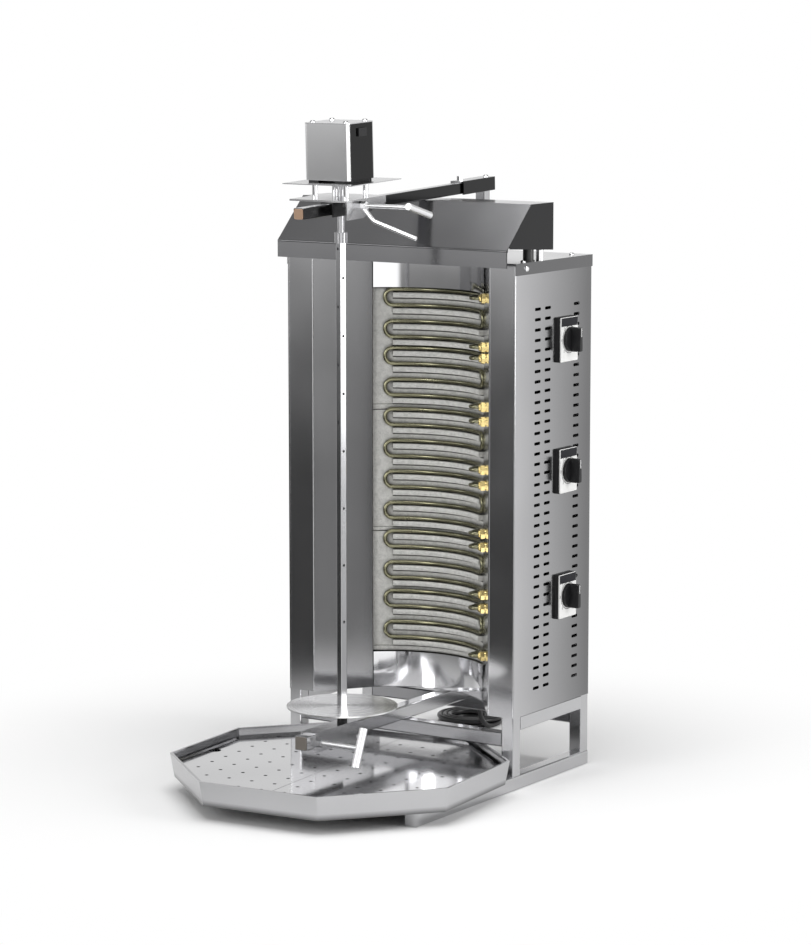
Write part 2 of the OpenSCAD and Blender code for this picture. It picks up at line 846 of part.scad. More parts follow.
module arm_bolts() {
    inset = 9;
    bolt_w = 10; // the front bolt is a tall one, the rear one is low
    place() color(bright) on_arm() translate([arm_x, bracket_v, arm_w / 2 + bracket_t]) {
        translate([0, inset, 0]) hexagon(bolt_w, bolt_h + sheet);
        translate([0, bracket_l - inset, 0]) pan_head();
    }
}

// ---------- Motor carriage ----------

shaft_hole = shaft_d + 4;

module shaft_bore(low, high) {
    translate([0, 0, low]) cylinder(d = shaft_hole, h = high - low);
}

module carriage_guide() {
    inner = arm_w + 2 * slide_gap;
    skirt = 3; // the guide reaches this far below the bar
    low = -arm_w / 2 - skirt;
    place() color(dark_steel) on_arm() difference() {
        translate([arm_x - inner / 2 - guide_t, -carriage_front, low])
            cube([inner + 2 * guide_t, carriage_front + carriage_back, guide_top - low]);
        translate([arm_x - inner / 2, -carriage_front - cut, low - cut])
            cube([inner, carriage_front + carriage_back + 2 * cut, arm_w / 2 - low + cut]);
        shaft_bore(low - cut, guide_top + cut);
        translate([arm_x, screw_v, screw_w]) rotate([0, 90, 0])
            cylinder(d = screw_d + 2 * turn_gap, h = arm_w);
    }
}

// The plate over the guide, with one side turned down and a nut welded to it.
module carriage_plate() {
    side_drop = 30;
    step_drop = 14;
    chamfer = 6;
    place() color(steel) on_arm() difference() {
        union() {
            translate([-flange_x, -carriage_front, guide_top])
                cube([carriage_w, carriage_front + carriage_back, carriage_t]);
            translate([flange_x - carriage_t, 0, 0]) rotate([90, 0, 90]) linear_extrude(carriage_t) polygon([
                [-carriage_front, guide_top + carriage_t], [-carriage_front, guide_top - side_drop],
                [screw_v + side_drop / 2, guide_top - side_drop],
                [-chamfer, guide_top - side_drop + chamfer], [0, guide_top - step_drop],
                [carriage_back - chamfer, guide_top - step_drop],
                [carriage_back, guide_top - step_drop + chamfer], [carriage_back, guide_top + carriage_t]
            ]);
            translate([flange_x, screw_v, screw_w]) rotate([0, 90, 0]) hexagon(bolt_af, weld_nut_h);
        }
        shaft_bore(guide_top - cut, guide_top + carriage_t + cut);
        translate([flange_x - carriage_t - cut, screw_v, screw_w]) rotate([0, 90, 0])
            cylinder(d = screw_d + 2 * turn_gap, h = carriage_t + weld_nut_h + 2 * cut);
    }
}

module pillars() {
    pillar_d = 10;
    pillar_x = 32;
    pillar_y = 30;
    place() color(bright) on_arm() for (x = [-pillar_x, pillar_x], y = [-pillar_y, pillar_y])
        translate([x, y, guide_top + carriage_t]) cylinder(d = pillar_d, h = pillar_h);
}

module heat_shield() {
    place() color(steel) on_arm() difference() {
        translate([-shield_w / 2, -carriage_front - cut, shield_w0]) cube([shield_w, shield_l, sheet]);
        shaft_bore(shield_w0 - cut, shield_w0 + sheet + cut);
    }
}

module motor_cover() {
    wall = 1.2;
    place() color(dark_steel) on_arm() translate([0, 0, cover_w0]) difference() {
        linear_extrude(motor_h) difference() {
            polygon(round_box(motor_w, motor_l, motor_r));
            polygon(round_box(motor_w - 2 * wall, motor_l - 2 * wall, motor_r - wall));
        }
        translate([motor_w / 2 - motor_r, -socket_w / 2, motor_h - socket_drop - socket_h])
            cube([2 * motor_r, socket_w, socket_h]);
    }
}

module motor_lid() {
    place() color(steel) on_arm() translate([0, 0, cover_w0 + motor_h]) linear_extrude(sheet)
        polygon(round_box(motor_w, motor_l, motor_r));
}

module lid_screws() {
    inset = 12;
    place() color(bright) on_arm() for (x = [inset - motor_w / 2, motor_w / 2 - inset])
        for (y = [inset - motor_l / 2, motor_l / 2 - inset])
            translate([x, y, cover_w0 + motor_h + sheet]) pan_head();
}

// Pads, gearbox, motor can and socket; the shaft hangs plumb in the gearbox.
module gear_motor() {
    box_w = 64;
    can_d = 56;
    can_h = 50;
    socket_out = 3;
    edge = 2;
    pad_w = 20;
    pad_in = 9; // from the side of the motor
    place() color(black) difference() {
        on_arm() translate([0, 0, shield_w0 + sheet]) union() {
            both_sides() translate([motor_w / 2 - pad_in - pad_w, -motor_l / 2, 0])
                cube([pad_w, motor_l, pad_h]);
            translate([edge - motor_w / 2, -box_w / 2, pad_h])
                cube([motor_w - 2 * edge, box_w, gearbox_h]);
            translate([0, 0, pad_h + gearbox_h - cut]) cylinder(d = can_d, h = can_h + cut);
            translate([0, -socket_w / 2, pad_h + motor_h - socket_drop - socket_h])
                cube([motor_w / 2 + socket_out, socket_w, socket_h]);
        }
        translate([0, -spit_y, arm_z]) cylinder(d = shaft_d + 2 * turn_gap, h = shaft_up + cut);
    }
}

// ---------- Spit ----------

// Puts its children on the spit's axis, at a height above the ground.
module on_spit(z) {
    translate([0, -spit_y, z]) rotate([0, 0, spit_turn]) children();
}

module drive_shaft() {
    collar_d = 18;
    collar_h = 10;
    collar_z = arm_z + guide_top + carriage_t + pillar_h / 2;
    low = coupling_z + coupling_h / 2;
    place() color(bright) union() {
        on_spit(low) cylinder(d = shaft_d, h = arm_z + shaft_up - low);
        on_spit(collar_z) cylinder(d = collar_d, h = collar_h);
        on_spit(collar_z + collar_h / 2) rotate([0, -90, 0]) hexagon(head_d * 3 / 4, collar_d * 3 / 4);
    }
}

// The coupling above the square bar, and the round pin under it.
module spit_ends() {
    coupling_d = 22;
    place() color(bright) on_spit(pin_low) cylinder(d = pin_d, h = spit_low - pin_low);
    place() color(bright) on_spit(coupling_z) difference() {
        cylinder(d = coupling_d, h = coupling_h);
        translate([0, 0, coupling_h / 2]) cylinder(d = shaft_d, h = coupling_h);
        translate([-spit_w / 2, -spit_w / 2, -cut]) cube([spit_w, spit_w, coupling_h / 2 + cut]);
    }
}

// A square bar with skewer holes, every other one turned by a quarter.
module spit() {
    edge_r = 1.2;
    length = coupling_z + coupling_h / 2 - spit_low;
    count = floor((length - 2 * hole_pitch) / hole_pitch);
    place() color(bright) on_spit(0) difference() {
        translate([0, 0, spit_low]) linear_extrude(length) polygon(round_box(spit_w, spit_w, edge_r, 2));
        for (i = [0:count]) translate([0, 0, coupling_z - hole_pitch / 5 - i * hole_pitch])
            rotate([90, 0, i % 2 * 90]) cylinder(d = hole_d, h = 2 * spit_w, center = true, $fn = 12);
    }
}

module disc() {
    hub_d = 24;
    hub_h = 8;
    place() color(bright) on_spit(disc_z - disc_t) difference() {
        union() {
            cylinder(d = disc_d, h = disc_t, $fn = 72);
            translate([0, 0, -hub_h]) cylinder(d = hub_d, h = hub_h + disc_t / 2);
        }
        translate([-spit_w / 2, -spit_w / 2, -hub_h - cut]) cube([spit_w, spit_w, hub_h + disc_t + 2 * cut]);
    }
}

// ---------- Clamp screws ----------

// A clamp screw along +X: its tip near the bar at x = 0, its cross handle leaning by an angle.
module clamp_screw(length, lean, ahead, grip_d) {
    rotate([0, 90, 0]) cylinder(d = screw_d, h = length);
    translate([length, 0, 0]) rotate([lean, 0, 0]) translate([0, -ahead, 0]) rotate([-90, 0, 0])
        cylinder(d = grip_d, h = handle_l);
}

upper_reach = 138; // from the bar to the middle of the upper handle

module upper_screw() {
    lean = -17.5;
    place() color(bright) on_arm() translate([arm_x + arm_w / 2 + tip_gap, screw_v, screw_w])
        clamp_screw(upper_reach, lean, handle_d * 3 / 4, handle_d);
}

// A nut with a cranked rod that locks the upper clamp screw.
module lock_lever() {
    rod_d = 7.5;
    nut_x = flange_x + weld_nut_h + slide_gap;
    nut_h = 9;
    rod_x = nut_x + bolt_h / 2;
    elbow = [19, -25]; // from the start of the rod, to the side and down from the screw
    tip = [104, -52];
    blend = 2;
    place() color(bright) on_arm() translate([0, screw_v, screw_w]) difference() {
        union() {
            translate([nut_x, 0, 0]) rotate([0, 90, 0]) hexagon(bolt_af, nut_h);
            swept([
                [rod_x, 0, -bolt_af / 3], [rod_x + elbow.x - blend, 0, elbow.y + blend],
                [rod_x + elbow.x + blend, 0, elbow.y - blend / 2], [rod_x + tip.x, 0, tip.y]
            ], rod_d, 12, [0, 1, 0]);
        }
        translate([nut_x - cut, 0, 0]) rotate([0, 90, 0])
            cylinder(d = screw_d + 2 * turn_gap, h = 2 * bolt_h);
    }
}

// ---------- Lower carriage ----------

low_back = mast_y - arm_w / 2; // the bar butts against the mast

module low_bar() {
    place() color(steel) translate([0, -low_reach, bar_top - tube_w / 2])
        lying_tube(tube_w, low_reach + low_back);
}

low_nut_af = 15;

// An upside-down channel over the lower bar, with a nut for the clamp screw.
module sleeve() {
    gap = tube_w + 2 * slide_gap;
    place() color(steel) difference() {
        union() {
            translate([-sleeve_x, sleeve_front, bar_top - sleeve_drop])
                cube([2 * sleeve_x, sleeve_l, sleeve_drop + sleeve_t]);
            translate([sleeve_x - cut, low_screw_y, low_screw_z]) rotate([0, 90, 0])
                hexagon(low_nut_af, weld_nut_h + cut);
        }
        translate([-gap / 2, sleeve_front - cut, bar_top - sleeve_drop - cut])
            cube([gap, sleeve_l + 2 * cut, sleeve_drop + cut]);
        translate([0, low_screw_y, low_screw_z]) rotate([0, 90, 0])
            cylinder(d = screw_d + 2 * turn_gap, h = 2 * sleeve_x);
    }
}

module bearing() {
    ring_d = 18;
    seat = 1;
    place() color(black) translate([0, -spit_y, bar_top + sleeve_t]) difference() {
        cylinder(d = ring_d, h = bearing_top - bar_top - sleeve_t);
        translate([0, 0, seat]) cylinder(d = pin_d + 2 * turn_gap, h = ring_d);
    }
}

module lower_screw() {
    lean = 68;
    reach = 87;
    grip_d = 14;
    place() color(bright) translate([tube_w / 2 + tip_gap, low_screw_y, low_screw_z])
        clamp_screw(reach, lean, handle_l / 2, grip_d);
}

// ---------- Drip tray ----------

rim_w = 3.5; // width of the hem at the rim
hem_h = 3;
tray_low_r = tray_r - tray_taper;

// An octagon with its flats square to the front at a turn of zero.
module octagon(r) {
    rotate([0, 0, tray_turn + half_side]) circle(r = r, $fn = 8);
}

// An eight-sided body that widens from the tray's floor to a height h.
module pan_form(r, h) {
    rotate([0, 0, tray_turn + half_side])
        cylinder(r1 = r, r2 = r + tray_taper * h / tray_h, h = h, $fn = 8);
}

module tray() {
    hem_low = tray_h - hem_h;
    place() color(steel) translate([tray_x, tray_y, tube_w]) difference() {
        pan_form(tray_low_r, tray_h);
        translate([0, 0, sheet]) pan_form(tray_low_r - sheet, hem_low - sheet);
        translate([0, 0, hem_low - cut]) linear_extrude(hem_h + 2 * cut)
            octagon(tray_r - rim_w - sheet);
    }
}

plate_play = 3;
plate_r = tray_low_r - sheet - plate_play;
plate_top = tray_h - plate_drop;

// One half of the perforated cover: a plate with its edges turned down to the tray's floor.
module tray_plate(side) {
    seam = 0.5;
    finger_d = 22;
    plate_sheet = 1.2;
    rows = floor(2 * plate_r / drain_pitch);
    under = plate_top - plate_sheet;
    place() color(bright) translate([tray_x, tray_y, tube_w]) difference() {
        intersection() {
            translate([0, 0, sheet]) linear_extrude(plate_top - sheet) octagon(plate_r);
            rotate([0, 0, tray_turn]) translate([side < 0 ? -2 * tray_r : seam, -tray_r, 0])
                cube([2 * tray_r - seam, 2 * tray_r, tray_h]);
        }
        intersection() {
            translate([0, 0, -cut]) linear_extrude(under + cut) octagon(plate_r - plate_sheet);
            rotate([0, 0, tray_turn])
                translate([side < 0 ? -2 * tray_r : seam + plate_sheet, -tray_r, -cut])
                cube([2 * tray_r - seam - plate_sheet, 2 * tray_r, tray_h]);
        }
        rotate([0, 0, tray_turn]) for (i = [0:rows], j = [0:rows / 2]) {
            x = side * (j + 1 / 2) * drain_pitch;
            y = (i - rows / 2) * drain_pitch;
            if (norm([x, y]) < plate_r * cos(half_side) - drain_pitch / 4)
                translate([x, y, 0]) cylinder(d = drain_d, h = tray_h, $fn = 8);
        }
        if (side < 0) translate([finger_at.x, finger_at.y, 0]) cylinder(d = finger_d, h = tray_h);
    }
}

finger_shares = [-0.813, -0.117]; // of the tray's corner distance
finger_at = tray_r * finger_shares;

module tray_plate_left() {
    tray_plate(-1);
}

module tray_plate_right() {
    tray_plate(1);
}

// ---------- Wiring and cord ----------

gland_thread_d = 12;

module terminal_block() {
    size = [60, 20, 26];
    y = body_d - sheet - gland_thread_l - size.y;
    place() color(tan_brown) translate([cord_x - size.x / 2, y, cord_z - size.z / 2]) cube(size);
}

gland_thread_l = 6;

// A tapered strain relief with a flange outside and a threaded neck inside.
module cord_gland() {
    flange_d = 20;
    flange_t = 5;
    place() color(black) translate([cord_x, body_d, cord_z]) rotate([-90, 0, 0]) union() {
        translate([0, 0, -sheet - gland_thread_l])
            cylinder(d = gland_thread_d, h = sheet + gland_thread_l + cut);
        cylinder(d = flange_d, h = flange_t);
        translate([0, 0, flange_t - cut])
            cylinder(d1 = flange_d * 0.75, d2 = cord_d + hole_play, h = gland_l - flange_t + cut);
    }
}

// Side view of the free cord, as [y, z]: straight out, down, and level along the ground.
out_y = cord_out + 3 * cord_d;
upper_c = [out_y, cord_z - bend_r];
lower_c = [low_turn_y, low_z + bend_r];

// Round route of the free cord from the strain relief to the start of the coil.
run_path = [for (p = concat(
    [[cord_out, cord_z], [cord_out + 3 * cord_d / 2, cord_z]],
    arc_points(upper_c, bend_r, 90, 90 - fall_angle(), 6),
    [run_joint(1 / 3), run_joint(2 / 3)],
    arc_points(lower_c, bend_r, 270 - fall_angle(), 270, 6),
    [[coil_at.y - cord_d, low_z]]
)) [cord_x, p.x, p.y]];

// Steepness at which a straight stretch touches both bends.
function fall_angle() = let (d = lower_c - upper_c, m = norm(d))
    atan2(-d.y, d.x) + asin(2 * bend_r / m);

function run_joint(share) = let (
    a = upper_c + bend_r * [sin(fall_angle()), cos(fall_angle())],
    b = lower_c - bend_r * [sin(fall_angle()), cos(fall_angle())]
) a + share * (b - a);

module cord_run() {
    place() color(black) swept(run_path, cord_d, 8, [1, 0, 0]);
}

// Two layers of turns: inwards on the ground, up a layer while the spiral turns round, and out again.
coil_turns = 2 * layer_turns + 0.25; // it ends at the back of the coil
coil_steps = 24;

function coil_r(t) = coil_r_out - turn_pitch * min(t, 2 * layer_turns - t);

function coil_z(t) = let (s = max(0, min(1, (t - layer_turns + 0.25) * 2)))
    low_z + (high_z - low_z) * s * s * (3 - 2 * s);

// The end of the cord turns away from the coil towards the plug.
tail_from = 255;
tail_to = 200;
tail_heading = tail_to - 90;
tail_c = coil_at + [0, coil_r(coil_turns) + bend_r];
cord_end = tail_c + bend_r * [cos(tail_to), sin(tail_to)] + cord_d * [cos(tail_heading), sin(tail_heading)];

coil_path = concat(
    [[cord_x, coil_at.y - cord_d, low_z]],
    [for (i = [0:coil_turns * coil_steps]) let (t = i / coil_steps)
        [coil_at.x + coil_r(t) * cos(360 * t), coil_at.y + coil_r(t) * sin(360 * t), coil_z(t)]],
    [for (p = arc_points(tail_c, bend_r, tail_from, tail_to, 5)) [p.x, p.y, high_z]],
    [[cord_end.x, cord_end.y, high_z]]
);

// Least clear distance between two turns of the coil.
coil_clear = min([for (i = [0:len(coil_path) - 1])
    for (j = [i + coil_steps / 2:1:len(coil_path) - 1]) norm(coil_path[i] - coil_path[j])]) - cord_d;
echo(coil_clear = coil_clear);

module cord_coil() {
    place() color(black) swept(coil_path, cord_d, 6, [1, 0, 0]);
}

// A mains plug that lies on the ground at the end of the coil.
module plug() {
    neck_l = 16;
    plug_r = 5;
    pin_l = 19;
    mains_d = 4.8;
    mains_gap = 19;
    neck_in = 2;
    neck_w = 2 * high_z - 2 * neck_in;
    place() translate([cord_end.x, cord_end.y, high_z])
        rotate([0, 0, tail_heading - 90]) rotate([-90, 0, 0]) {
        color(black) union() {
            cylinder(d1 = cord_d + hole_play, d2 = neck_w, h = neck_l + cut);
            translate([0, 0, neck_l]) linear_extrude(plug_l)
                polygon(round_box(plug_w, 2 * high_z, plug_r));
        }
        color(bright) for (x = [-mains_gap / 2, mains_gap / 2])
            translate([x, 0, neck_l + plug_l]) cylinder(d = mains_d, h = pin_l, $fn = 16);
    }
}

skid_left();
skid_right();
posts();
side_rails();
cross_front();
cross_rear();
end_plugs();
floor_panel();
side_left();
side_right();
back_panel();
cap();
band_low();
band_high();
brick_top();
brick_middle();
brick_bottom();
heaters_top();
heaters_middle();
heaters_bottom();
heater_nuts();
hood();
hood_posts();
hood_spacers();
cap_screws();
switch_bodies();
switch_plates();
knob_top();
knob_middle();
knob_bottom();
mast();
arm_bar();
arm_bracket();
arm_bolts();
carriage_guide();
carriage_plate();
pillars();
heat_shield();
motor_cover();
motor_lid();
lid_screws();
gear_motor();
drive_shaft();
spit_ends();
spit();
disc();
upper_screw();
lock_lever();
low_bar();
sleeve();
bearing();
lower_screw();
tray();
tray_plate_left();
tray_plate_right();
terminal_block();
cord_gland();
cord_run();
cord_coil();
plug();
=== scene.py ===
from math import asin, atan2, cos, degrees, dist, hypot, pi, radians, sin

import bmesh
import bpy
from mathutils import Matrix, Vector


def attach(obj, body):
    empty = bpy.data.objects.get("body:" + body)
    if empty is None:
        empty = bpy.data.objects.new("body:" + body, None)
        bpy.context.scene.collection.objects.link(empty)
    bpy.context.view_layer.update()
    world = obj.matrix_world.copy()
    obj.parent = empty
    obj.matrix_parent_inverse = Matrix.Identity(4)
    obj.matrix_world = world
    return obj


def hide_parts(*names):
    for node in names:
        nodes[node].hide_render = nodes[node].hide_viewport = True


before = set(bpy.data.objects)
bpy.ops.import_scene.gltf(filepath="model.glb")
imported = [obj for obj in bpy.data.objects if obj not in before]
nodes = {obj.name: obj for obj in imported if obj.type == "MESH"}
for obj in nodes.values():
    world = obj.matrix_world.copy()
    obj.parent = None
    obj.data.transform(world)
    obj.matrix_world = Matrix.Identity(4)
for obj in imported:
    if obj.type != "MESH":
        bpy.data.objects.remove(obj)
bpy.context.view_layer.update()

scene = bpy.context.scene
scene.view_settings.view_transform = "Standard"
MM = 0.001

# The pieces below are drawn in millimetres from the middle of the housing's front face, on the ground: the
# switches are at +X, the back is at +Y. SHIFT takes them to the frame's own origin.
SHIFT = Vector((3.0, 91.399, 0.0)) * MM

# Sizes that several pieces share
SIDE_X = 240.0              # outer face of the right side wall
BACK_Y = 290.0              # outer face of the back
SPIT_Y = -181.0             # the spit stands this far in front of the housing
BRICKS_TOP, BRICKS_H = 866.0, 670.0     # top and height of the column of bricks
ARC_Y = -31.5               # the bricks and the heating tubes are curved round this line
THIRDS = ("top", "middle", "bottom")

# ---------------------------------------------------------------- camera
PHOTO_W, FOCAL_PX = 811, 3357.2         # width and focal length of the photograph, in pixels
SENSOR = 36
AZ, TILT = radians(33.35), radians(8.24)
LOOK_AT = Vector((0, 0.14, 0.6))
EYE_LEFT, EYE_DOWN, EYE_BACK = 0.0657, 0.0678, 6.0731       # the eye as seen from LOOK_AT

right = Vector((cos(AZ), sin(AZ), 0))
ahead = Vector((-sin(AZ) * cos(TILT), cos(AZ) * cos(TILT), -sin(TILT)))
up = right.cross(ahead)
cam = bpy.data.objects.new("camera", bpy.data.cameras.new("camera"))
scene.collection.objects.link(cam)
cam.data.sensor_fit = "HORIZONTAL"
cam.data.sensor_width = SENSOR
cam.data.lens = FOCAL_PX * SENSOR / PHOTO_W
cam.data.clip_end = 60
cam.location = SHIFT + LOOK_AT - EYE_LEFT * right - EYE_DOWN * up - EYE_BACK * ahead
cam.rotation_euler = (pi / 2 - TILT, 0, AZ)
scene.camera = cam


# ---------------------------------------------------------------- geometry helpers
def arc(centre, r, a, b, n):
    """n + 1 points of an arc in the plane, from a to b degrees."""
    turns = [radians(a + (b - a) * i / n) for i in range(n + 1)]
    return [(centre[0] + r * cos(t), centre[1] + r * sin(t)) for t in turns]


def ring_of(r, sides, start=0.0):
    """The corners of a regular polygon; start turns it, in degrees."""
    return [(r * cos(radians(start) + 2 * pi * k / sides), r * sin(radians(start) + 2 * pi * k / sides))
            for k in range(sides)]


def rbox(w, d, r):
    """A rectangle with rounded corners."""
    x, y = w / 2 - r, d / 2 - r
    corners = ((x, y), (-x, y), (-x, -y), (x, -y))
    return [p for i, c in enumerate(corners) for p in arc(c, r, 90 * i, 90 * i + 90, 5)]


def at(x, y, z):
    return Matrix.Translation(Vector((x, y, z)) * MM)


def rot(deg, axis):
    return Matrix.Rotation(radians(deg), 4, axis)


def skin(bm, rings, mat=0, flip=False):
    """Faces between rings of points, each joined to the next one. A ring of one point is a tip."""
    for a, b in zip(rings, rings[1:]):
        n = max(len(a), len(b))
        for k in range(n):
            j = (k + 1) % n
            a0, a1, b0, b1 = a[k % len(a)], a[j % len(a)], b[k % len(b)], b[j % len(b)]
            corners = (a0, b0, b1, a1) if flip else (a0, a1, b1, b0)
            bm.faces.new(list(dict.fromkeys(corners))).material_index = mat


def ends(bm, first, last, mat=0):
    for ring in (first, last):
        if ring:
            bm.faces.new(ring).material_index = mat


def tube(bm, pts, r, sides, first=(0, 0, 1)):
    """A round tube through points in mm. Its rings start on the side that first points to."""
    p = [Vector(q) * MM for q in pts]
    last = len(p) - 1
    m = Vector(first)
    rings = []
    for i, q in enumerate(p):
        along = (p[min(i + 1, last)] - p[max(i - 1, 0)]).normalized()
        m = (m - m.dot(along) * along).normalized()
        b = along.cross(m)
        turns = [2 * pi * k / sides for k in range(sides)]
        rings.append([bm.verts.new(q + r * MM * (cos(t) * m + sin(t) * b)) for t in turns])
    skin(bm, rings)
    ends(bm, rings[0][::-1], rings[-1])


def points(bm, outline, z, place):
    """An outline in mm as points, z high along the Z axis of the matrix place."""
    return [bm.verts.new(place @ Vector((x * MM, y * MM, z * MM))) for x, y in outline]


def lathe(bm, profile, place, sides, mat=0):
    """A turned piece: a profile of (radius, height) in mm round the Z axis of place."""
    skin(bm, [points(bm, ring_of(r, sides if r else 1), z, place) for r, z in profile], mat)


def prism(bm, outline, z0, z1, place, bevel=0.0, mat=0):
    """An outline in mm pushed along the Z axis of place, with a small chamfer round its far face."""
    loops = [(outline, z0), (outline, z1 - bevel)]
    if bevel:
        c = Vector((sum(x for x, y in outline) / len(outline), sum(y for x, y in outline) / len(outline)))
        rays = [Vector(p) - c for p in outline]
        loops.append(([tuple(c + d * (1 - bevel / d.length)) for d in rays], z1))
    rings = [points(bm, o, z, place) for o, z in loops]
    skin(bm, rings, mat)
    ends(bm, rings[0][::-1], rings[-1], mat)


def add(name, bm, body, mats, angle=40):
    """Makes a smooth-shaded piece of a mesh drawn in the drawing's frame, and lets it ride on a body."""
    bmesh.ops.translate(bm, verts=bm.verts, vec=SHIFT)
    me = bpy.data.meshes.new(name)
    bm.to_mesh(me)
    bm.free()
    ob = bpy.data.objects.new(name, me)
    scene.collection.objects.link(ob)
    for m in mats:
        me.materials.append(m)
    me.shade_smooth()
    me.set_sharp_from_angle(angle=radians(angle))
    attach(ob, body)
    return ob


# ---------------------------------------------------------------- shader helpers
def node(nt, kind, inputs, **settings):
    """A shader node. Each input is linked to a socket or set to a plain value."""
    n = nt.nodes.new("ShaderNode" + kind)
    for k, v in settings.items():
        setattr(n, k, v)
    for k, v in inputs.items():
        feed(nt, v, n.inputs[k])
    return n


def feed(nt, value, socket):
    if isinstance(value, bpy.types.NodeSocket):
        nt.links.new(value, socket)
    else:
        socket.default_value = value


def calc(nt, op, *values):
    return node(nt, "Math", dict(enumerate(values)), operation=op).outputs[0]


def vector(nt, op, *values):
    n = node(nt, "VectorMath", dict(enumerate(values)), operation=op)
    return n.outputs["Value" if op in ("LENGTH", "DOT_PRODUCT") else "Vector"]


def coords(nt, kind="Object"):
    return nt.nodes.new("ShaderNodeTexCoord").outputs[kind]


def noise(nt, scale, detail, stretch=None, rough=0.5):
    where = coords(nt)
    if stretch:
        where = node(nt, "Mapping", {"Vector": where, "Scale": stretch}).outputs["Vector"]
    settings = {"Scale": scale, "Detail": detail, "Roughness": rough}
    return node(nt, "TexNoise", {"Vector": where, **settings}).outputs["Fac"]


def span(nt, fac, lo, hi, a=0.3, b=0.7, kind="LINEAR"):
    """Takes fac from the range a to b to the range lo to hi."""
    return node(nt, "MapRange", {"Value": fac, "From Min": a, "From Max": b, "To Min": lo, "To Max": hi},
                interpolation_type=kind).outputs["Result"]


def smooth(nt, fac, a, b, lo=0.0, hi=1.0):
    return span(nt, fac, lo, hi, a, b, "SMOOTHSTEP")


def tint(nt, fac, c0, c1, a=0.3, b=0.7):
    """Goes from colour c0 to c1 as fac goes from a to b."""
    r = node(nt, "ValToRGB", {"Fac": fac})
    for stop, where, colour in zip(r.color_ramp.elements, (a, b), (c0, c1)):
        stop.position = where
        stop.color = (*colour, 1)
    return r.outputs["Color"]


def times(nt, a, b):
    """Product of two colours."""
    return node(nt, "Mix", {0: 1.0, 6: a, 7: b}, data_type="RGBA", blend_type="MULTIPLY").outputs[2]


def blend(nt, fac, a, b):
    """Mix of two tones; each is a socket or a grey value."""
    a, b = (v if isinstance(v, bpy.types.NodeSocket) else grey(v) + (1,) for v in (a, b))
    return node(nt, "Mix", {0: fac, 6: a, 7: b}, data_type="RGBA").outputs[2]


def bump(nt, bs, fac, strength, depth, below=None):
    """Relief on a surface, over an earlier one that is given as below."""
    b = node(nt, "Bump", {"Height": fac, "Strength": strength, "Distance": depth})
    if below:
        feed(nt, below, b.inputs["Normal"])
    feed(nt, b.outputs["Normal"], bs.inputs["Normal"])
    return b.outputs["Normal"]


# ---------------------------------------------------------------- materials
GRAIN_SHARE, SMUDGE_SHARE = 0.35, 0.65          # what grain and smudges add to the roughness of metal
SMUDGE_SCALE, WAVE_SCALE, PATCH_SCALE = 5.0, 3.2, 14
GRAIN_DEPTH, WAVE_DEPTH, PAINT_DEPTH = 0.0004, 0.02, 0.0002     # depth of the relief, in metres
LATHE_SCALE, LATHE_DEPTH = 900, 0.0003          # rings of turned steel
CLAY_FINE, CLAY_COARSE = 900, 120               # scales of the speckles in the bricks
PAINTED_SHADE_REACH = 0.007                               # painted shade: the bricks' colour darkens in gaps narrower than about this, in metres


def grey(v):
    return (v, v, v)


def steel(v):
    return (v, v, v + 0.01)


def surface(name, metallic=0.0, shine=0.5):
    m = bpy.data.materials.new(name)
    m.use_nodes = True
    bs = m.node_tree.nodes["Principled BSDF"]
    bs.inputs["Metallic"].default_value = metallic
    bs.inputs["Specular IOR Level"].default_value = shine
    return m, m.node_tree, bs


def brushed(name, base, rough, grain, smudge=0.05, depth=0.02, wave=0.0, painted_shade=None):
    """Brushed metal: fine grain stretched along one direction, soft smudges, and sheets that are not quite
    flat. rough is the range of roughness. painted_shade = (axis, from, to, factor) is painted shade: it
    darkens the base colour along an axis, in metres, where the real steel looks darker by its lighting."""
    m, nt, bs = surface(name, 1.0)
    fine = noise(nt, 1.0, 3, grain)
    soft = span(nt, noise(nt, SMUDGE_SCALE, 2), 0.0, SMUDGE_SHARE, 0.25, 0.75)
    mix = calc(nt, "MULTIPLY_ADD", fine, GRAIN_SHARE, soft)
    feed(nt, span(nt, mix, *rough, 0.2, 0.8), bs.inputs["Roughness"])
    colour = tint(nt, mix, tuple(c * (1 - smudge) for c in base), base, 0.2, 0.75)
    # painted shade: the base colour is multiplied down along one axis
    if painted_shade:
        axis, start, stop, factor = painted_shade
        place = node(nt, "SeparateXYZ", {0: coords(nt)}).outputs[axis]
        shade = tint(nt, span(nt, place, 0, 1, start, stop), grey(1), grey(factor), 0, 1)
        colour = times(nt, colour, shade)
    feed(nt, colour, bs.inputs["Base Color"])
    relief = bump(nt, bs, fine, depth, GRAIN_DEPTH)
    if wave:
        bump(nt, bs, noise(nt, WAVE_SCALE, 1), wave, WAVE_DEPTH, relief)
    return m


def painted(name, base, rough, scale=900, relief=0.15, metallic=0.0, vary=0.15, shine=0.5):
    """Paint, plastic or rubber: an even tone with soft patches and a fine relief."""
    m, nt, bs = surface(name, metallic, shine)
    patches = noise(nt, PATCH_SCALE, 3)
    feed(nt, tint(nt, patches, tuple(c * (1 - vary) for c in base), base), bs.inputs["Base Color"])
    feed(nt, span(nt, patches, rough - 0.05, rough + 0.08), bs.inputs["Roughness"])
    bump(nt, bs, noise(nt, scale, 2), relief, PAINT_DEPTH)
    return m


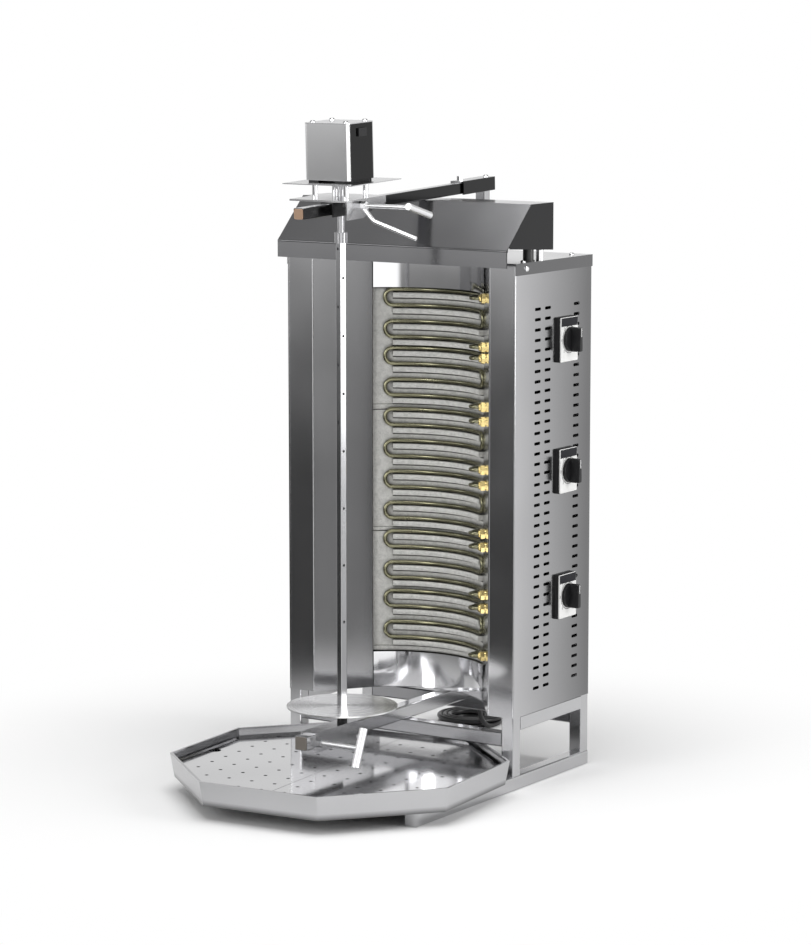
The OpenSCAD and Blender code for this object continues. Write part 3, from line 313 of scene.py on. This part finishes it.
def turned(name, base, centre):
    """Steel turned on a lathe: its grain runs in circles round a centre in metres. A painted highlight
    keeps the tone full in two sectors towards the camera and away from it, and painted shade halves it across
    them."""
    m, nt, bs = surface(name, 1.0)
    out = vector(nt, "MULTIPLY", vector(nt, "SUBTRACT", coords(nt), centre), (1, 1, 0))
    feed(nt, vector(nt, "CROSS_PRODUCT", (0, 0, 1), out), bs.inputs["Tangent"])
    rings = node(nt, "TexNoise", {"W": vector(nt, "LENGTH", out), "Scale": LATHE_SCALE, "Detail": 3},
                 noise_dimensions="1D").outputs["Fac"]
    # painted highlight: the base colour is full along the line of sight on the ground and half across it
    facing = vector(nt, "DOT_PRODUCT", vector(nt, "NORMALIZE", out), (-sin(AZ), cos(AZ), 0))
    painted_highlight_sectors = tint(nt, calc(nt, "ABSOLUTE", facing), grey(0.5), grey(1), 0.0, 0.6)
    colour = tint(nt, rings, tuple(c * 0.88 for c in base), base)
    feed(nt, times(nt, colour, painted_highlight_sectors), bs.inputs["Base Color"])
    feed(nt, span(nt, rings, 0.2, 0.28), bs.inputs["Roughness"])
    bs.inputs["Anisotropic"].default_value = 0.6
    bump(nt, bs, rings, 0.03, LATHE_DEPTH)
    return m


def clay(name):
    """Fire brick: rough and speckled, with painted shade darkening its colour in the gaps under its ribs."""
    m, nt, bs = surface(name)
    fine = noise(nt, CLAY_FINE, 4, rough=0.7)
    coarse = noise(nt, CLAY_COARSE, 5, rough=0.65)
    painted_gap_shade = node(nt, "AmbientOcclusion", {"Distance": PAINTED_SHADE_REACH}, samples=6).outputs["AO"]
    colour = tint(nt, coarse, (0.60, 0.597, 0.57), (0.78, 0.775, 0.745), 0.3, 0.62)
    colour = times(nt, colour, tint(nt, fine, grey(0.62), grey(1), 0.32, 0.5))
    # painted shade: ambient occlusion darkens the base colour in the gaps, where real shade falls
    colour = times(nt, colour, tint(nt, painted_gap_shade, (0.05, 0.049, 0.042), grey(1), 0.3, 0.8))
    feed(nt, colour, bs.inputs["Base Color"])
    bs.inputs["Roughness"].default_value = 0.92
    relief = bump(nt, bs, fine, 0.5, 0.0006)
    bump(nt, bs, coarse, 0.4, 0.0012, relief)
    return m


X, Y, Z = range(3)
ALONG_X, ALONG_Y, ALONG_Z = (12, 1500, 1500), (1500, 12, 1500), (1500, 1500, 12)      # the grain's direction

# painted shade: the side, back and floor sheets darken to about a third towards the back
m_sheet = brushed("sheet_steel", steel(0.56), (0.11, 0.18), ALONG_Z, 0.08, wave=0.12,
                  painted_shade=(Y, 0.10, 0.34, 0.36))
m_thin = brushed("thin_steel", steel(0.62), (0.16, 0.24), ALONG_X)
# painted shade: the hood's right end is darkened to a tenth of its tone
m_hood = brushed("hood_steel", steel(0.36), (0.13, 0.2), ALONG_X, 0.08, 0.015, 0.08,
                 painted_shade=(X, 0.2432, 0.2439, 0.1))
# painted shade: the cap's right side is darkened to a third of its tone
m_cap = brushed("cap_steel", steel(0.52), (0.14, 0.22), ALONG_X, painted_shade=(X, 0.2438, 0.2444, 0.34))
m_tube_x = brushed("tube_steel_x", steel(0.34), (0.14, 0.22), ALONG_X)
m_tube_y = brushed("tube_steel_y", steel(0.56), (0.14, 0.22), ALONG_Y)
m_tube_z = brushed("tube_steel_z", steel(0.54), (0.14, 0.22), ALONG_Z)
# painted shade: what lies right of the arm bar's right face is darkened almost to black
m_arm = brushed("arm_steel", steel(0.42), (0.12, 0.2), ALONG_Y, painted_shade=(X, 0.0298, 0.0308, 0.08))
# painted shade: the motor cover's right side is darkened almost to black
m_motor = brushed("motor_steel", steel(0.88), (0.10, 0.16), ALONG_Z, 0.05, 0.01,
                  painted_shade=(X, 0.0480, 0.0489, 0.035))
m_polish = brushed("polished_steel", steel(0.68), (0.05, 0.1), ALONG_Z, 0.03, 0.008)
# painted shade: the tray darkens to a third towards the bottom of its walls
m_tray = brushed("tray_steel", steel(0.52), (0.16, 0.24), (400, 400, 40), 0.06, 0.015, 0.1,
                 painted_shade=(Z, 0.036, 0.026, 0.3))
m_plate = brushed("cover_steel", steel(0.66), (0.07, 0.12), (500, 60, 500), 0.04, 0.006, 0.06)
m_chrome = brushed("chrome", steel(0.84), (0.06, 0.13), grey(90), 0.05, 0.01)
m_handle = brushed("handle_steel", steel(0.93), (0.3, 0.4), grey(300), 0.03, 0.01)
m_spit = brushed("spit_steel", steel(0.42), (0.16, 0.24), ALONG_Z)
m_brass = brushed("brass", (0.95, 0.76, 0.33), (0.16, 0.26), grey(200), 0.16)
m_heat = brushed("heater_sheath", (0.27, 0.26, 0.17), (0.18, 0.3), grey(60), 0.3, 0.04)
m_disc = turned("disc_steel", grey(0.95), tuple(Vector((0, SPIT_Y, 0)) * MM + SHIFT))
m_clay = clay("fire_brick")
m_tan = painted("tan_plug", (0.36, 0.23, 0.15), 0.55, 500, 0.3)
m_brown = painted("brown_plug", (0.17, 0.15, 0.13), 0.5, 500, 0.3)
m_black = painted("black_plastic", (0.009, 0.009, 0.01), 0.32, 1400, 0.12, shine=0.32)
m_paint = painted("black_paint", grey(0.02), 0.38, relief=0.12)
m_rubber = painted("cord_rubber", (0.012, 0.012, 0.013), 0.3, 700, 0.06)
# painted shade: the steel channel under the carriage plate is coloured nearly black for the plate's shadow
m_guide_painted_shade = painted("channel_painted_shade", (0.05, 0.05, 0.052), 0.4, 700, 0.12, metallic=0.6)
m_silver = painted("printed_face", (0.80, 0.80, 0.79), 0.34, relief=0.03, vary=0.04)
m_ink = painted("ink", (0.02, 0.02, 0.024), 0.6, relief=0.03, shine=0.15)
m_white = painted("white_mark", grey(0.8), 0.5)
m_ceramic = painted("block_ceramic", (0.62, 0.56, 0.45), 0.5)

looks = {
    m_sheet: "side_left side_right back_panel floor_panel",
    m_thin: "heat_shield carriage_plate motor_lid",
    m_hood: "hood",
    m_cap: "cap",
    m_tube_x: "cross_front cross_rear",
    m_tube_y: "skid_left skid_right side_rails low_bar sleeve end_plugs",
    m_tube_z: "posts mast",
    m_arm: "arm_bar arm_bracket",
    m_motor: "motor_cover",
    m_polish: "band_low band_high switch_plates",
    m_tray: "tray",
    m_plate: "tray_plate_left tray_plate_right",
    m_chrome: "hood_spacers cap_screws arm_bolts lid_screws pillars",
    m_handle: "upper_screw lock_lever lower_screw",
    m_spit: "drive_shaft spit_ends spit",
    m_disc: "disc",
    m_brass: "heater_nuts",
    m_heat: "heaters_top heaters_middle heaters_bottom",
    m_clay: "brick_top brick_middle brick_bottom",
    m_paint: "hood_posts",
    m_guide_painted_shade: "carriage_guide",
    m_black: "switch_bodies knob_top knob_middle knob_bottom gear_motor bearing cord_gland plug",
    m_rubber: "cord_run cord_coil",
    m_ceramic: "terminal_block",
}
for mat, names in looks.items():
    for n in names.split():
        me = nodes[n].data
        if not me.materials:
            me.materials.append(mat)
        for i in range(len(me.materials)):
            me.materials[i] = mat


def soften(names, width):
    """Rounds the sharp edges of CAD pieces a little, width in mm, so that they catch the light."""
    for n in names.split():
        b = nodes[n].modifiers.new("edges", "BEVEL")
        b.width = width * MM
        b.segments = 2
        b.limit_method = "ANGLE"
        b.angle_limit = radians(35)
        b.harden_normals = False


soften("side_left side_right", 1.2)
soften("hood cap", 1.4)
soften("motor_cover", 0.8)
soften("cross_front cross_rear posts side_rails skid_left skid_right", 1.2)
soften("low_bar arm_bar arm_bracket sleeve", 1.2)
soften("tray", 1.6)
soften("disc carriage_plate heat_shield", 0.6)

# ---------------------------------------------------------------- cord
CORD_D, CORD_GAP = 9.0, 0.7             # thickness, and the gap between two turns of the coil
CORD_STEP = CORD_D + CORD_GAP
CORD_BEND = 5 * CORD_D                  # radius of its bends
CORD_Z = 165                            # height of the hole in the back
COIL_X, COIL_Y = -126.0, 436.0          # middle of the coil on the ground
COIL_R = 52 + CORD_STEP                 # radius of the outer turn
TURNS, INWARD = 6.25, 3                 # turns in all, and those that wind inwards below the others
CLIMB = 0.5                             # the cord climbs to the upper layer in this part of a turn
LOW, HIGH = CORD_D / 2, CORD_D / 2 + CORD_STEP      # heights of the two layers
cord_x = COIL_X + COIL_R


def drop():
    """The cord from the hole down to the ground, as (y, z): a bend, a straight fall and a bend."""
    top = (BACK_Y + 3 * CORD_D, CORD_Z - CORD_BEND)
    foot = (COIL_Y - CORD_D - 8, LOW + CORD_BEND)
    over, down = foot[0] - top[0], foot[1] - top[1]
    fall = degrees(atan2(-down, over) + asin(2 * CORD_BEND / hypot(over, down)))
    out, level = CORD_BEND * sin(radians(fall)), CORD_BEND * cos(radians(fall))
    a, b = (top[0] + out, top[1] + level), (foot[0] - out, foot[1] - level)
    fallen = [(a[0] + s * (b[0] - a[0]), a[1] + s * (b[1] - a[1])) for s in (1 / 3, 2 / 3)]
    straight = [(BACK_Y, CORD_Z), (BACK_Y + 1.5 * CORD_D, CORD_Z)]
    return (straight + arc(top, CORD_BEND, 90, 90 - fall, 14) + fallen
            + arc(foot, CORD_BEND, 270 - fall, 270, 14) + [(COIL_Y - CORD_D, LOW)])


def coil():
    """The turns on the ground: the lower layer winds inwards and the upper one outwards again."""
    pts, per_turn = [], 48
    for i in range(int(TURNS * per_turn) + 1):
        t = i / per_turn
        r = COIL_R - CORD_STEP * min(t, 2 * INWARD - t)
        s = max(0, min(1, (t - INWARD + CLIMB / 2) / CLIMB))
        z = LOW + (HIGH - LOW) * s * s * (3 - 2 * s)
        pts.append((COIL_X + r * cos(2 * pi * t), COIL_Y + r * sin(2 * pi * t), z))
    return pts


def tail():
    """The short end that leaves the coil for the plug."""
    start, stop = 262, 200
    c = (COIL_X, COIL_Y + COIL_R - CORD_STEP * (2 * INWARD - TURNS) + CORD_BEND)
    bent = arc(c, CORD_BEND, start, stop, 10)
    x, y = bent[-1]
    end = (x + CORD_D * cos(radians(stop - 90)), y + CORD_D * sin(radians(stop - 90)))
    return [(px, py, HIGH) for px, py in bent + [end]]


route = [(cord_x, y, z) for y, z in drop()] + coil() + tail()
bm = bmesh.new()
tube(bm, route, CORD_D / 2, 16, (1, 0, 0))
cord = add("cord", bm, "housing", [m_rubber])
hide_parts("cord_run", "cord_coil")

# ---------------------------------------------------------------- heating tubes
HEAT_R, SHEATH_R = 172.0, 3.5           # radius that the tubes are curved to, and radius of a tube
RUN_STEP = 28.7                         # height between two runs of a tube
RUN_LEFT, RUN_RIGHT = -31.5, 36.2       # degrees at which the tight bends start
SHARES = (0.0701, 0.2284, 0.3955, 0.5657, 0.7299, 0.8948)       # middles of the six tubes, down the bricks
heater_z = [BRICKS_TOP - BRICKS_H * s for s in SHARES]
WING_IN, WING_OUT = (119.0, 92.0), (187.0, 0.0)     # edges of the right wing, seen from above
NUT_AT = 45.5                           # the tubes pass the wing this far from its inner edge
BEHIND = 12                             # and end this far behind it
HOOK_FROM = 38.0                        # degrees at which a run leaves the curve for its end
HOOK_R, JOIN_R = 10.0, 30.0             # radii of the tight and of the wide bend of an end

wing_l = hypot(WING_OUT[0] - WING_IN[0], WING_IN[1])
wing = ((WING_OUT[0] - WING_IN[0]) / wing_l, -WING_IN[1] / wing_l)      # along the wing, outwards
normal = (wing[1], -wing[0])                                            # out of its front face
nut = (WING_IN[0] + NUT_AT * wing[0], WING_IN[1] + NUT_AT * wing[1])
join = tuple((HEAT_R - JOIN_R) * f(radians(HOOK_FROM)) + y for f, y in ((sin, 0), (cos, ARC_Y)))
reach = (join[0] + JOIN_R + HOOK_R * (1 + wing[0]) - nut[0]) / normal[0]
hook_c = tuple(nut[k] + reach * normal[k] - HOOK_R * wing[k] for k in (0, 1))


def on_arc(a, z, r=HEAT_R):
    return (r * sin(radians(a)), ARC_Y + r * cos(radians(a)), z)


def run(a, b, z):
    n = 22
    return [on_arc(a + (b - a) * i / n, z) for i in range(n + 1)]


def bend(a, z, side):
    """The tight bend down to the next run."""
    n, r = 12, RUN_STEP / 2
    turn = degrees(r / HEAT_R)
    return [on_arc(a + side * sin(pi * i / n) * turn, z - r * (1 - cos(pi * i / n))) for i in range(1, n)]


def hook(z):
    """The end of a tube, from behind the wing to the curve."""
    back = (nut[0] - BEHIND * normal[0], nut[1] - BEHIND * normal[1])
    tight = arc(hook_c, HOOK_R, degrees(atan2(wing[1], wing[0])), -180, 12)
    return [(x, y, z) for x, y in [back] + tight + arc(join, JOIN_R, 0, 90 - HOOK_FROM, 7)]


def heater(z):
    a, b, c, d = (z + k * RUN_STEP / 2 for k in (3, 1, -1, -3))
    return (hook(a) + run(HOOK_FROM, RUN_LEFT, a)[1:] + bend(RUN_LEFT, a, -1) + run(RUN_LEFT, RUN_RIGHT, b)
            + bend(RUN_RIGHT, b, 1) + run(RUN_RIGHT, RUN_LEFT, c) + bend(RUN_LEFT, c, -1)
            + run(RUN_LEFT, HOOK_FROM, d)[:-1] + hook(d)[::-1])


for i, n in enumerate(THIRDS):
    bm = bmesh.new()
    for z in heater_z[2 * i:2 * i + 2]:
        tube(bm, heater(z), SHEATH_R, 16)
    ob = add("heating_tubes_" + n, bm, "housing", [m_heat])
    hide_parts("heaters_" + n)

# ---------------------------------------------------------------- fire bricks
FACE_R, RIB_R, BRICK_BACK = 178.0, 168.0, 199.0     # radii of the face, of the ribs' fronts and of the back
RIB_H, RIB_BELOW = 9.5, 15              # height of a rib, and its foot below the run that it carries
RIB_FROM, RIB_TO = -31.4, 38.0          # degrees between which the ribs lie
RIB_END = 0.2                           # degrees over which a rib rises from the margin beside it
BRICK_HALF, MARGIN = 43.3, 38           # degrees: half of a brick, and a column in its plain left margin
CROWN = ((0, -1.8), (0.6, -0.5), (2, 0))    # rounding of its upper edge, as (radius, z) from its front and top
TOP_SLOPE = 0.4                         # a rib's top rises by this much to the face
EDGE, UNDERCUT = 1.2, 2.5               # chamfer, and depth of the groove below a rib
GROOVE_H, GROOVE_SLOPE = 3.0, 0.4       # height of that groove, and of its sloping lower side
FIRST_RIB = 3.5                         # the lowest rib starts at least this far above the brick's edge
JOINT = 0.5                             # half of the gap between two bricks
COLUMNS = 24                            # steps along the ribs


def brick_profile(i):
    """Front of a brick from bottom to top as (radius, z): an undercut below each rounded rib."""
    z0, z1 = BRICKS_TOP - BRICKS_H * (i + 1) / 3 + JOINT, BRICKS_TOP - BRICKS_H * i / 3 - JOINT
    pts = [(FACE_R + EDGE, z0), (FACE_R, z0 + EDGE)]
    runs = [heater_z[t] + s * RUN_STEP / 2 for t in (2 * i, 2 * i + 1) for s in (-3, -1, 1, 3)]
    for foot in sorted(z - RIB_BELOW for z in runs):
        low, top = max(foot, z0 + FIRST_RIB), foot + RIB_H
        deep = FACE_R + UNDERCUT
        groove = [(FACE_R, low - GROOVE_H), (deep, low - GROOVE_H + GROOVE_SLOPE), (deep, low)]
        front = [(RIB_R + EDGE, low), (RIB_R, low + EDGE)] + [(RIB_R + r, top + z) for r, z in CROWN]
        pts += groove + front + [(FACE_R, top + TOP_SLOPE)]
    return pts + [(FACE_R, z1 - EDGE), (FACE_R + EDGE, z1)]


def plain(prof):
    """The same heights on the smooth margins beside the ribs: only the edges and the lowest groove show."""
    last = len(prof) - 1
    return [(FACE_R + EDGE if j in (0, 3, last) else FACE_R, z) for j, (_, z) in enumerate(prof)]


ribbed = [RIB_FROM + RIB_END / 2 + k * (RIB_TO - RIB_FROM - RIB_END) / COLUMNS for k in range(COLUMNS + 1)]
for i, n in enumerate(THIRDS):
    prof = brick_profile(i)
    left = [(a, plain(prof)) for a in (-BRICK_HALF, -MARGIN, RIB_FROM - RIB_END)]
    columns = left + [(a, prof) for a in ribbed] + [(a, plain(prof)) for a in (RIB_TO + RIB_END, BRICK_HALF)]
    bm = bmesh.new()
    loops = []
    for a, front in columns:
        ring = front + [(BRICK_BACK, prof[-1][1]), (BRICK_BACK, prof[0][1])]
        loops.append([bm.verts.new(Vector(on_arc(a, z, r)) * MM) for r, z in ring])
    skin(bm, loops, flip=True)
    ends(bm, loops[0], loops[-1][::-1])
    ob = add("fire_brick_" + n, bm, "housing", [m_clay], angle=50)
    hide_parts("brick_" + n)

# ---------------------------------------------------------------- brass nuts
COLLAR = [(0, 0), (8.6, 0), (8.6, 1.2), (7.6, 1.6)]
LIP = [(6.6, 8.6), (6.6, 11.4), (5.6, 12.8), (4.2, 13.2), (3.6, 12.2)]
HEX_R, HEX_CHAMFER = 9.7, 1.8           # from the middle to a corner
HEX_LOW, HEX_TOP = 1.4, 9.6

bm = bmesh.new()
for z in [h + s * RUN_STEP / 2 for h in heater_z for s in (3, -3)]:
    place = at(*nut, z) @ rot(degrees(atan2(normal[1], normal[0])), "Z") @ rot(90, "Y")
    lathe(bm, COLLAR, place, 24)
    prism(bm, ring_of(HEX_R, 6, 30), HEX_LOW, HEX_TOP, place, HEX_CHAMFER)
    lathe(bm, LIP, place, 24)
nuts = add("brass_nuts", bm, "housing", [m_brass], angle=30)
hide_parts("heater_nuts")

# ---------------------------------------------------------------- switches
SWITCH_Y, SWITCH_Z = 170.04, (786.0, 552.0, 326.0)      # axes of the three knobs
BODY_SIZE, BODY_H = (80, 60), 6.6       # black body of a switch plate, and its height from the wall
FACE_SIZE, FACE_H = (78.5, 58), 8.9     # silver face
INK_LOW, INK_H = 8.85, 9.05             # what is printed on the face stands this high
INK = 2                                 # slot of the ink among a plate's materials
MARK_X, MARK_R = -20, 1.8               # a dot above the knob's axis
RING_OUT, RING_IN = 24.6, 23.8          # a thin ring round the knob
STRIP = [(-38.4, -28.2), (-23.5, -28.2), (-23.5, 28.2), (-38.4, 28.2)]
DIGITS = ("abcdef", "bc", "abged", "abgcd")     # 0 to 3 as bars of a seven-bar digit
BARS = {"a": ((-1, 2), (1, 2)), "b": ((1, 2), (1, 0)), "c": ((1, 0), (1, -2)), "d": ((-1, -2), (1, -2)),
        "e": ((-1, -2), (-1, 0)), "f": ((-1, 0), (-1, 2)), "g": ((-1, 0), (1, 0))}
DIGIT_SIZE, BAR_HALF = 1.1, 0.25        # quarter of a digit's height, and half of a bar's width
SKIRT = [(0, 0.6), (21.4, 0.6), (22.0, 1.4), (21.6, 5.0), (20.4, 6.4), (12, 6.6), (0, 6.6)]
GRIP = [(-21.5, 3.6), (-20.5, 5.2), (-12, 5.6), (-4, 4.9), (4, 4.9), (12, 5.6), (20.5, 5.2), (21.5, 3.6)]
# height, and share of the length and of the width there
GRIP_LEVELS = ((5.5, 1.0, 1.12), (15, 1.0, 1.0), (22.6, 0.98, 0.88), (24.4, 0.94, 0.72))
POINTER = [(-20.5, -0.9), (-5, -0.9), (-5, 0.9), (-20.5, 0.9)]


def digit_at(i):
    """Each digit stands 45 degrees round the knob from the last one, and 0 beside the strip."""
    turn, ahead_r, side_r, zero = radians(45 * i), 29.0, 27.0, (-22.5, 7)
    return (-ahead_r * cos(turn), -side_r * sin(turn)) if i else zero


def digit(bm, bars, cx, cy, place):
    for bar in bars:
        a, b = (Vector((cx - y * DIGIT_SIZE, cy + x * DIGIT_SIZE)) for x, y in BARS[bar])
        u = (b - a).normalized() * BAR_HALF
        v = Vector((-u.y, u.x))
        corners = (a - u + v, a - u - v, b + u - v, b + u + v)
        prism(bm, [tuple(p) for p in corners], INK_LOW, INK_H, place, mat=INK)


def switch_plate(bm, place):
    """A black body with a silver face, a bare dark strip, a dot, a ring round the knob and plain digits."""
    low = 8.8
    prism(bm, rbox(*BODY_SIZE, 3), 0.0, BODY_H, place, 0.6)
    prism(bm, rbox(*FACE_SIZE, 2), BODY_H - 0.2, FACE_H, place, 0.4, 1)
    prism(bm, STRIP, low, 9.06, place, mat=INK)
    lathe(bm, [(0, 9.2), (MARK_R, 9.2), (MARK_R, low)], place @ at(MARK_X, 0, 0), 16, INK)
    lathe(bm, [(RING_OUT, low), (RING_OUT, INK_H), (RING_IN, INK_H), (RING_IN, low)], place, 48, INK)
    for i, bars in enumerate(DIGITS):
        digit(bm, bars, *digit_at(i), place)


def knob(bm, place):
    """A round skirt, a grip that is wide at its ends and waisted between them, and a white pointer."""
    lathe(bm, SKIRT, place, 48)
    outline = GRIP[::-1] + [(x, -y) for x, y in GRIP]
    loops = [points(bm, [(x * s, y * w) for x, y in outline], z, place) for z, s, w in GRIP_LEVELS]
    skin(bm, loops, flip=True)
    ends(bm, None, loops[-1][::-1])
    prism(bm, POINTER, 24.2, 24.9, place, 0.2, 1)


for i, n in enumerate(THIRDS):
    place = at(SIDE_X, SWITCH_Y, SWITCH_Z[i]) @ rot(90, "Y")
    bm = bmesh.new()
    switch_plate(bm, place)
    plate = add("switch_plate_" + n, bm, "housing", [m_black, m_silver, m_ink])
    if i == 0:
        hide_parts("switch_plates")
    bm = bmesh.new()
    knob(bm, place @ at(0, 0, 9))
    k = add("knob_body_" + n, bm, "knob_" + "abc"[i], [m_black, m_white], angle=30)
    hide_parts("knob_" + n)

# ---------------------------------------------------------------- rounded folds of the sheets
FOLD_R = 2.5                            # outer radius of a fold
SHEET_LOW, SHEET_HIGH = 132, 926        # the side sheets' ends
CORNER_X, WING_X, FOLD_Y = 237.9, 188.06, 2.1       # outer corner and fold of the wing, from the middle
HOOD_LEFT, HOOD_RIGHT, HOOD_Y, HOOD_Z = -240.8, 240.6, -27.9, 953.1     # the fold above the hood's lip

folds = [("hood_fold", m_hood, (HOOD_LEFT, HOOD_Y, HOOD_Z), (HOOD_RIGHT, HOOD_Y, HOOD_Z), (0, 0, 1))]
for name, x in (("right_corner", CORNER_X), ("left_corner", -CORNER_X),
                ("left_wing_fold", -WING_X), ("right_wing_fold", WING_X)):
    folds.append((name, m_sheet, (x, FOLD_Y, SHEET_LOW), (x, FOLD_Y, SHEET_HIGH), (1, 0, 0)))
for name, mat, p0, p1, first in folds:
    bm = bmesh.new()
    tube(bm, [p0, tuple((a + b) / 2 for a, b in zip(p0, p1)), p1], FOLD_R, 28, first)
    add(name, bm, "housing", [mat])

# ---------------------------------------------------------------- end plugs of the two slide bars
ARM_Z, ARM_DROOP = 1032, 2.15           # height of the upper bar at the spit, and degrees that it hangs down
PLUG_IN, PLUG_OUT = -1.0, 1.7           # a plug starts inside its bar and stands out of its end

arm = at(0, SPIT_Y, ARM_Z) @ rot(ARM_DROOP, "X")
for name, end, w, mat in (("tan_end_plug", arm @ at(18, -151, 0), 17.6, m_tan),
                          ("brown_end_plug", at(0, -306, 114.5), 22.4, m_brown)):
    bm = bmesh.new()
    prism(bm, rbox(w, w, 3), PLUG_IN, PLUG_OUT, end @ rot(90, "X"), 0.5)
    add(name, bm, "housing", [mat])

# ---------------------------------------------------------------- floor, world and lights
TO_BACK = (-sin(AZ), cos(AZ))           # away from the camera, on the ground
TO_SIDE = (sin(AZ), cos(AZ))            # the direction that the side sheet mirrors
TO_BOX = (cos(radians(-50)), sin(radians(-50)))     # a bright box that the curved bands mirror
FLOOR_HALF, FLOOR_Z = 30, -0.0005       # in metres, just under the feet


def toward(nt, x, y, direction):
    return calc(nt, "ADD", calc(nt, "MULTIPLY", x, direction[0]), calc(nt, "MULTIPLY", y, direction[1]))


def studio(nt, x, y, far):
    """Tone that metal sees in the direction (x, y): a white backdrop behind the object, a bright right side,
    a bright box, and a dim floor in front that gets brighter far away. far runs from 0 beside the object to 1
    at the end of the room."""
    dim = calc(nt, "ADD", smooth(nt, far, 0.1, 0.8, 0.07, 0.22), smooth(nt, far, 0.87, 0.99, 0.0, 0.62))
    level = blend(nt, smooth(nt, toward(nt, x, y, TO_SIDE), 0.85, 0.0), 0.9, dim)
    level = blend(nt, smooth(nt, toward(nt, x, y, TO_BOX), 0.93, 0.965), level, 1.5)
    return blend(nt, smooth(nt, toward(nt, x, y, TO_BACK), 0.62, 0.86), level, 1.0)


def seen(nt):
    """Which rays see the backdrop, and which of them are glossy ones, that see the studio."""
    lp = nt.nodes.new("ShaderNodeLightPath")
    gloss = lp.outputs["Is Glossy Ray"]
    direct = calc(nt, "MAXIMUM", lp.outputs["Is Camera Ray"], lp.outputs["Is Transmission Ray"])
    return calc(nt, "MAXIMUM", direct, gloss), gloss


def unit(nt, vec):
    """Direction on the ground as (x, y), distance on the ground, and height."""
    x, y, z = node(nt, "SeparateXYZ", {0: vec}).outputs
    r = calc(nt, "SQRT", calc(nt, "ADD", calc(nt, "MULTIPLY", x, x), calc(nt, "MULTIPLY", y, y)))
    return calc(nt, "DIVIDE", x, r), calc(nt, "DIVIDE", y, r), r, z


def mix_shaders(nt, fac, a, b, output):
    mixed = node(nt, "MixShader", {0: fac, 1: a, 2: b}).outputs[0]
    feed(nt, mixed, nt.nodes[output].inputs["Surface"])


ground_mesh = bpy.data.meshes.new("ground")
square = [(x * FLOOR_HALF, y * FLOOR_HALF, FLOOR_Z) for x, y in ((-1, -1), (1, -1), (1, 1), (-1, 1))]
ground_mesh.from_pydata(square, [], [(0, 1, 2, 3)])
ground = bpy.data.objects.new("ground", ground_mesh)
scene.collection.objects.link(ground)
ground.location = SHIFT
m_floor, nt, bs = surface("floor", shine=0.05)
bs.inputs["Base Color"].default_value = (*grey(0.93), 1)
bs.inputs["Roughness"].default_value = 0.7
ux, uy, away, _ = unit(nt, coords(nt))
rays, gloss = seen(nt)
mirrored = studio(nt, ux, uy, smooth(nt, away, 1.0, 14.0))
glow = node(nt, "Emission", {"Color": blend(nt, gloss, 1.0, mirrored)}).outputs[0]
# the shadow shows only near the object
lit = calc(nt, "MULTIPLY", rays, smooth(nt, away, 0.4, 1.1))
mix_shaders(nt, lit, bs.outputs[0], glow, "Material Output")
ground_mesh.materials.append(m_floor)

world = bpy.data.worlds.new("studio")
scene.world = world
world.use_nodes = True
nt = world.node_tree
fill = nt.nodes["Background"]           # what matt surfaces see
fill.inputs["Color"].default_value = (*grey(0.8), 1)
fill.inputs["Strength"].default_value = 0.55
ux, uy, _, uz = unit(nt, coords(nt, "Generated"))
rays, gloss = seen(nt)
end_of_room = node(nt, "Value", {})
end_of_room.outputs[0].default_value = 1.0
ceiling = blend(nt, smooth(nt, uz, 0.75, 0.98), 0.22, 0.6)
room = blend(nt, smooth(nt, uz, 0.12, 0.45), studio(nt, ux, uy, end_of_room.outputs[0]), ceiling)
# a long light in front, above the horizon
strip = calc(nt, "MULTIPLY", smooth(nt, uz, 0.2, 0.25), smooth(nt, uz, 0.42, 0.36))
strip = calc(nt, "MULTIPLY", strip, smooth(nt, toward(nt, ux, uy, TO_BACK), 0.1, -0.3))
room = blend(nt, strip, room, 2.0)
white = node(nt, "Background", {"Color": blend(nt, gloss, 1.0, room)}).outputs[0]
mix_shaders(nt, rays, fill.outputs[0], white, "World Output")


def area(name, loc, target, size, power, size_y=None):
    """A rectangular light; loc and target are in metres in the drawing's frame."""
    d = bpy.data.lights.new(name, "AREA")
    d.energy = power
    d.shape = "RECTANGLE"
    d.size = size
    d.size_y = size_y or size
    o = bpy.data.objects.new(name, d)
    scene.collection.objects.link(o)
    o.location = Vector(loc) + SHIFT
    o.rotation_euler = (Vector(target) - Vector(loc)).to_track_quat("-Z", "Y").to_euler()


area("overhead", (0.3, -0.6, 3.6), (0, 0, 0.6), 2.6, 70)
area("right_box", (3.4, 0.6, 1.4), (0, 0.1, 0.6), 1.4, 55, 2.4)
area("front_box", (-1.2, -4.2, 1.9), (0, 0, 0.6), 1.2, 45, 2.2)
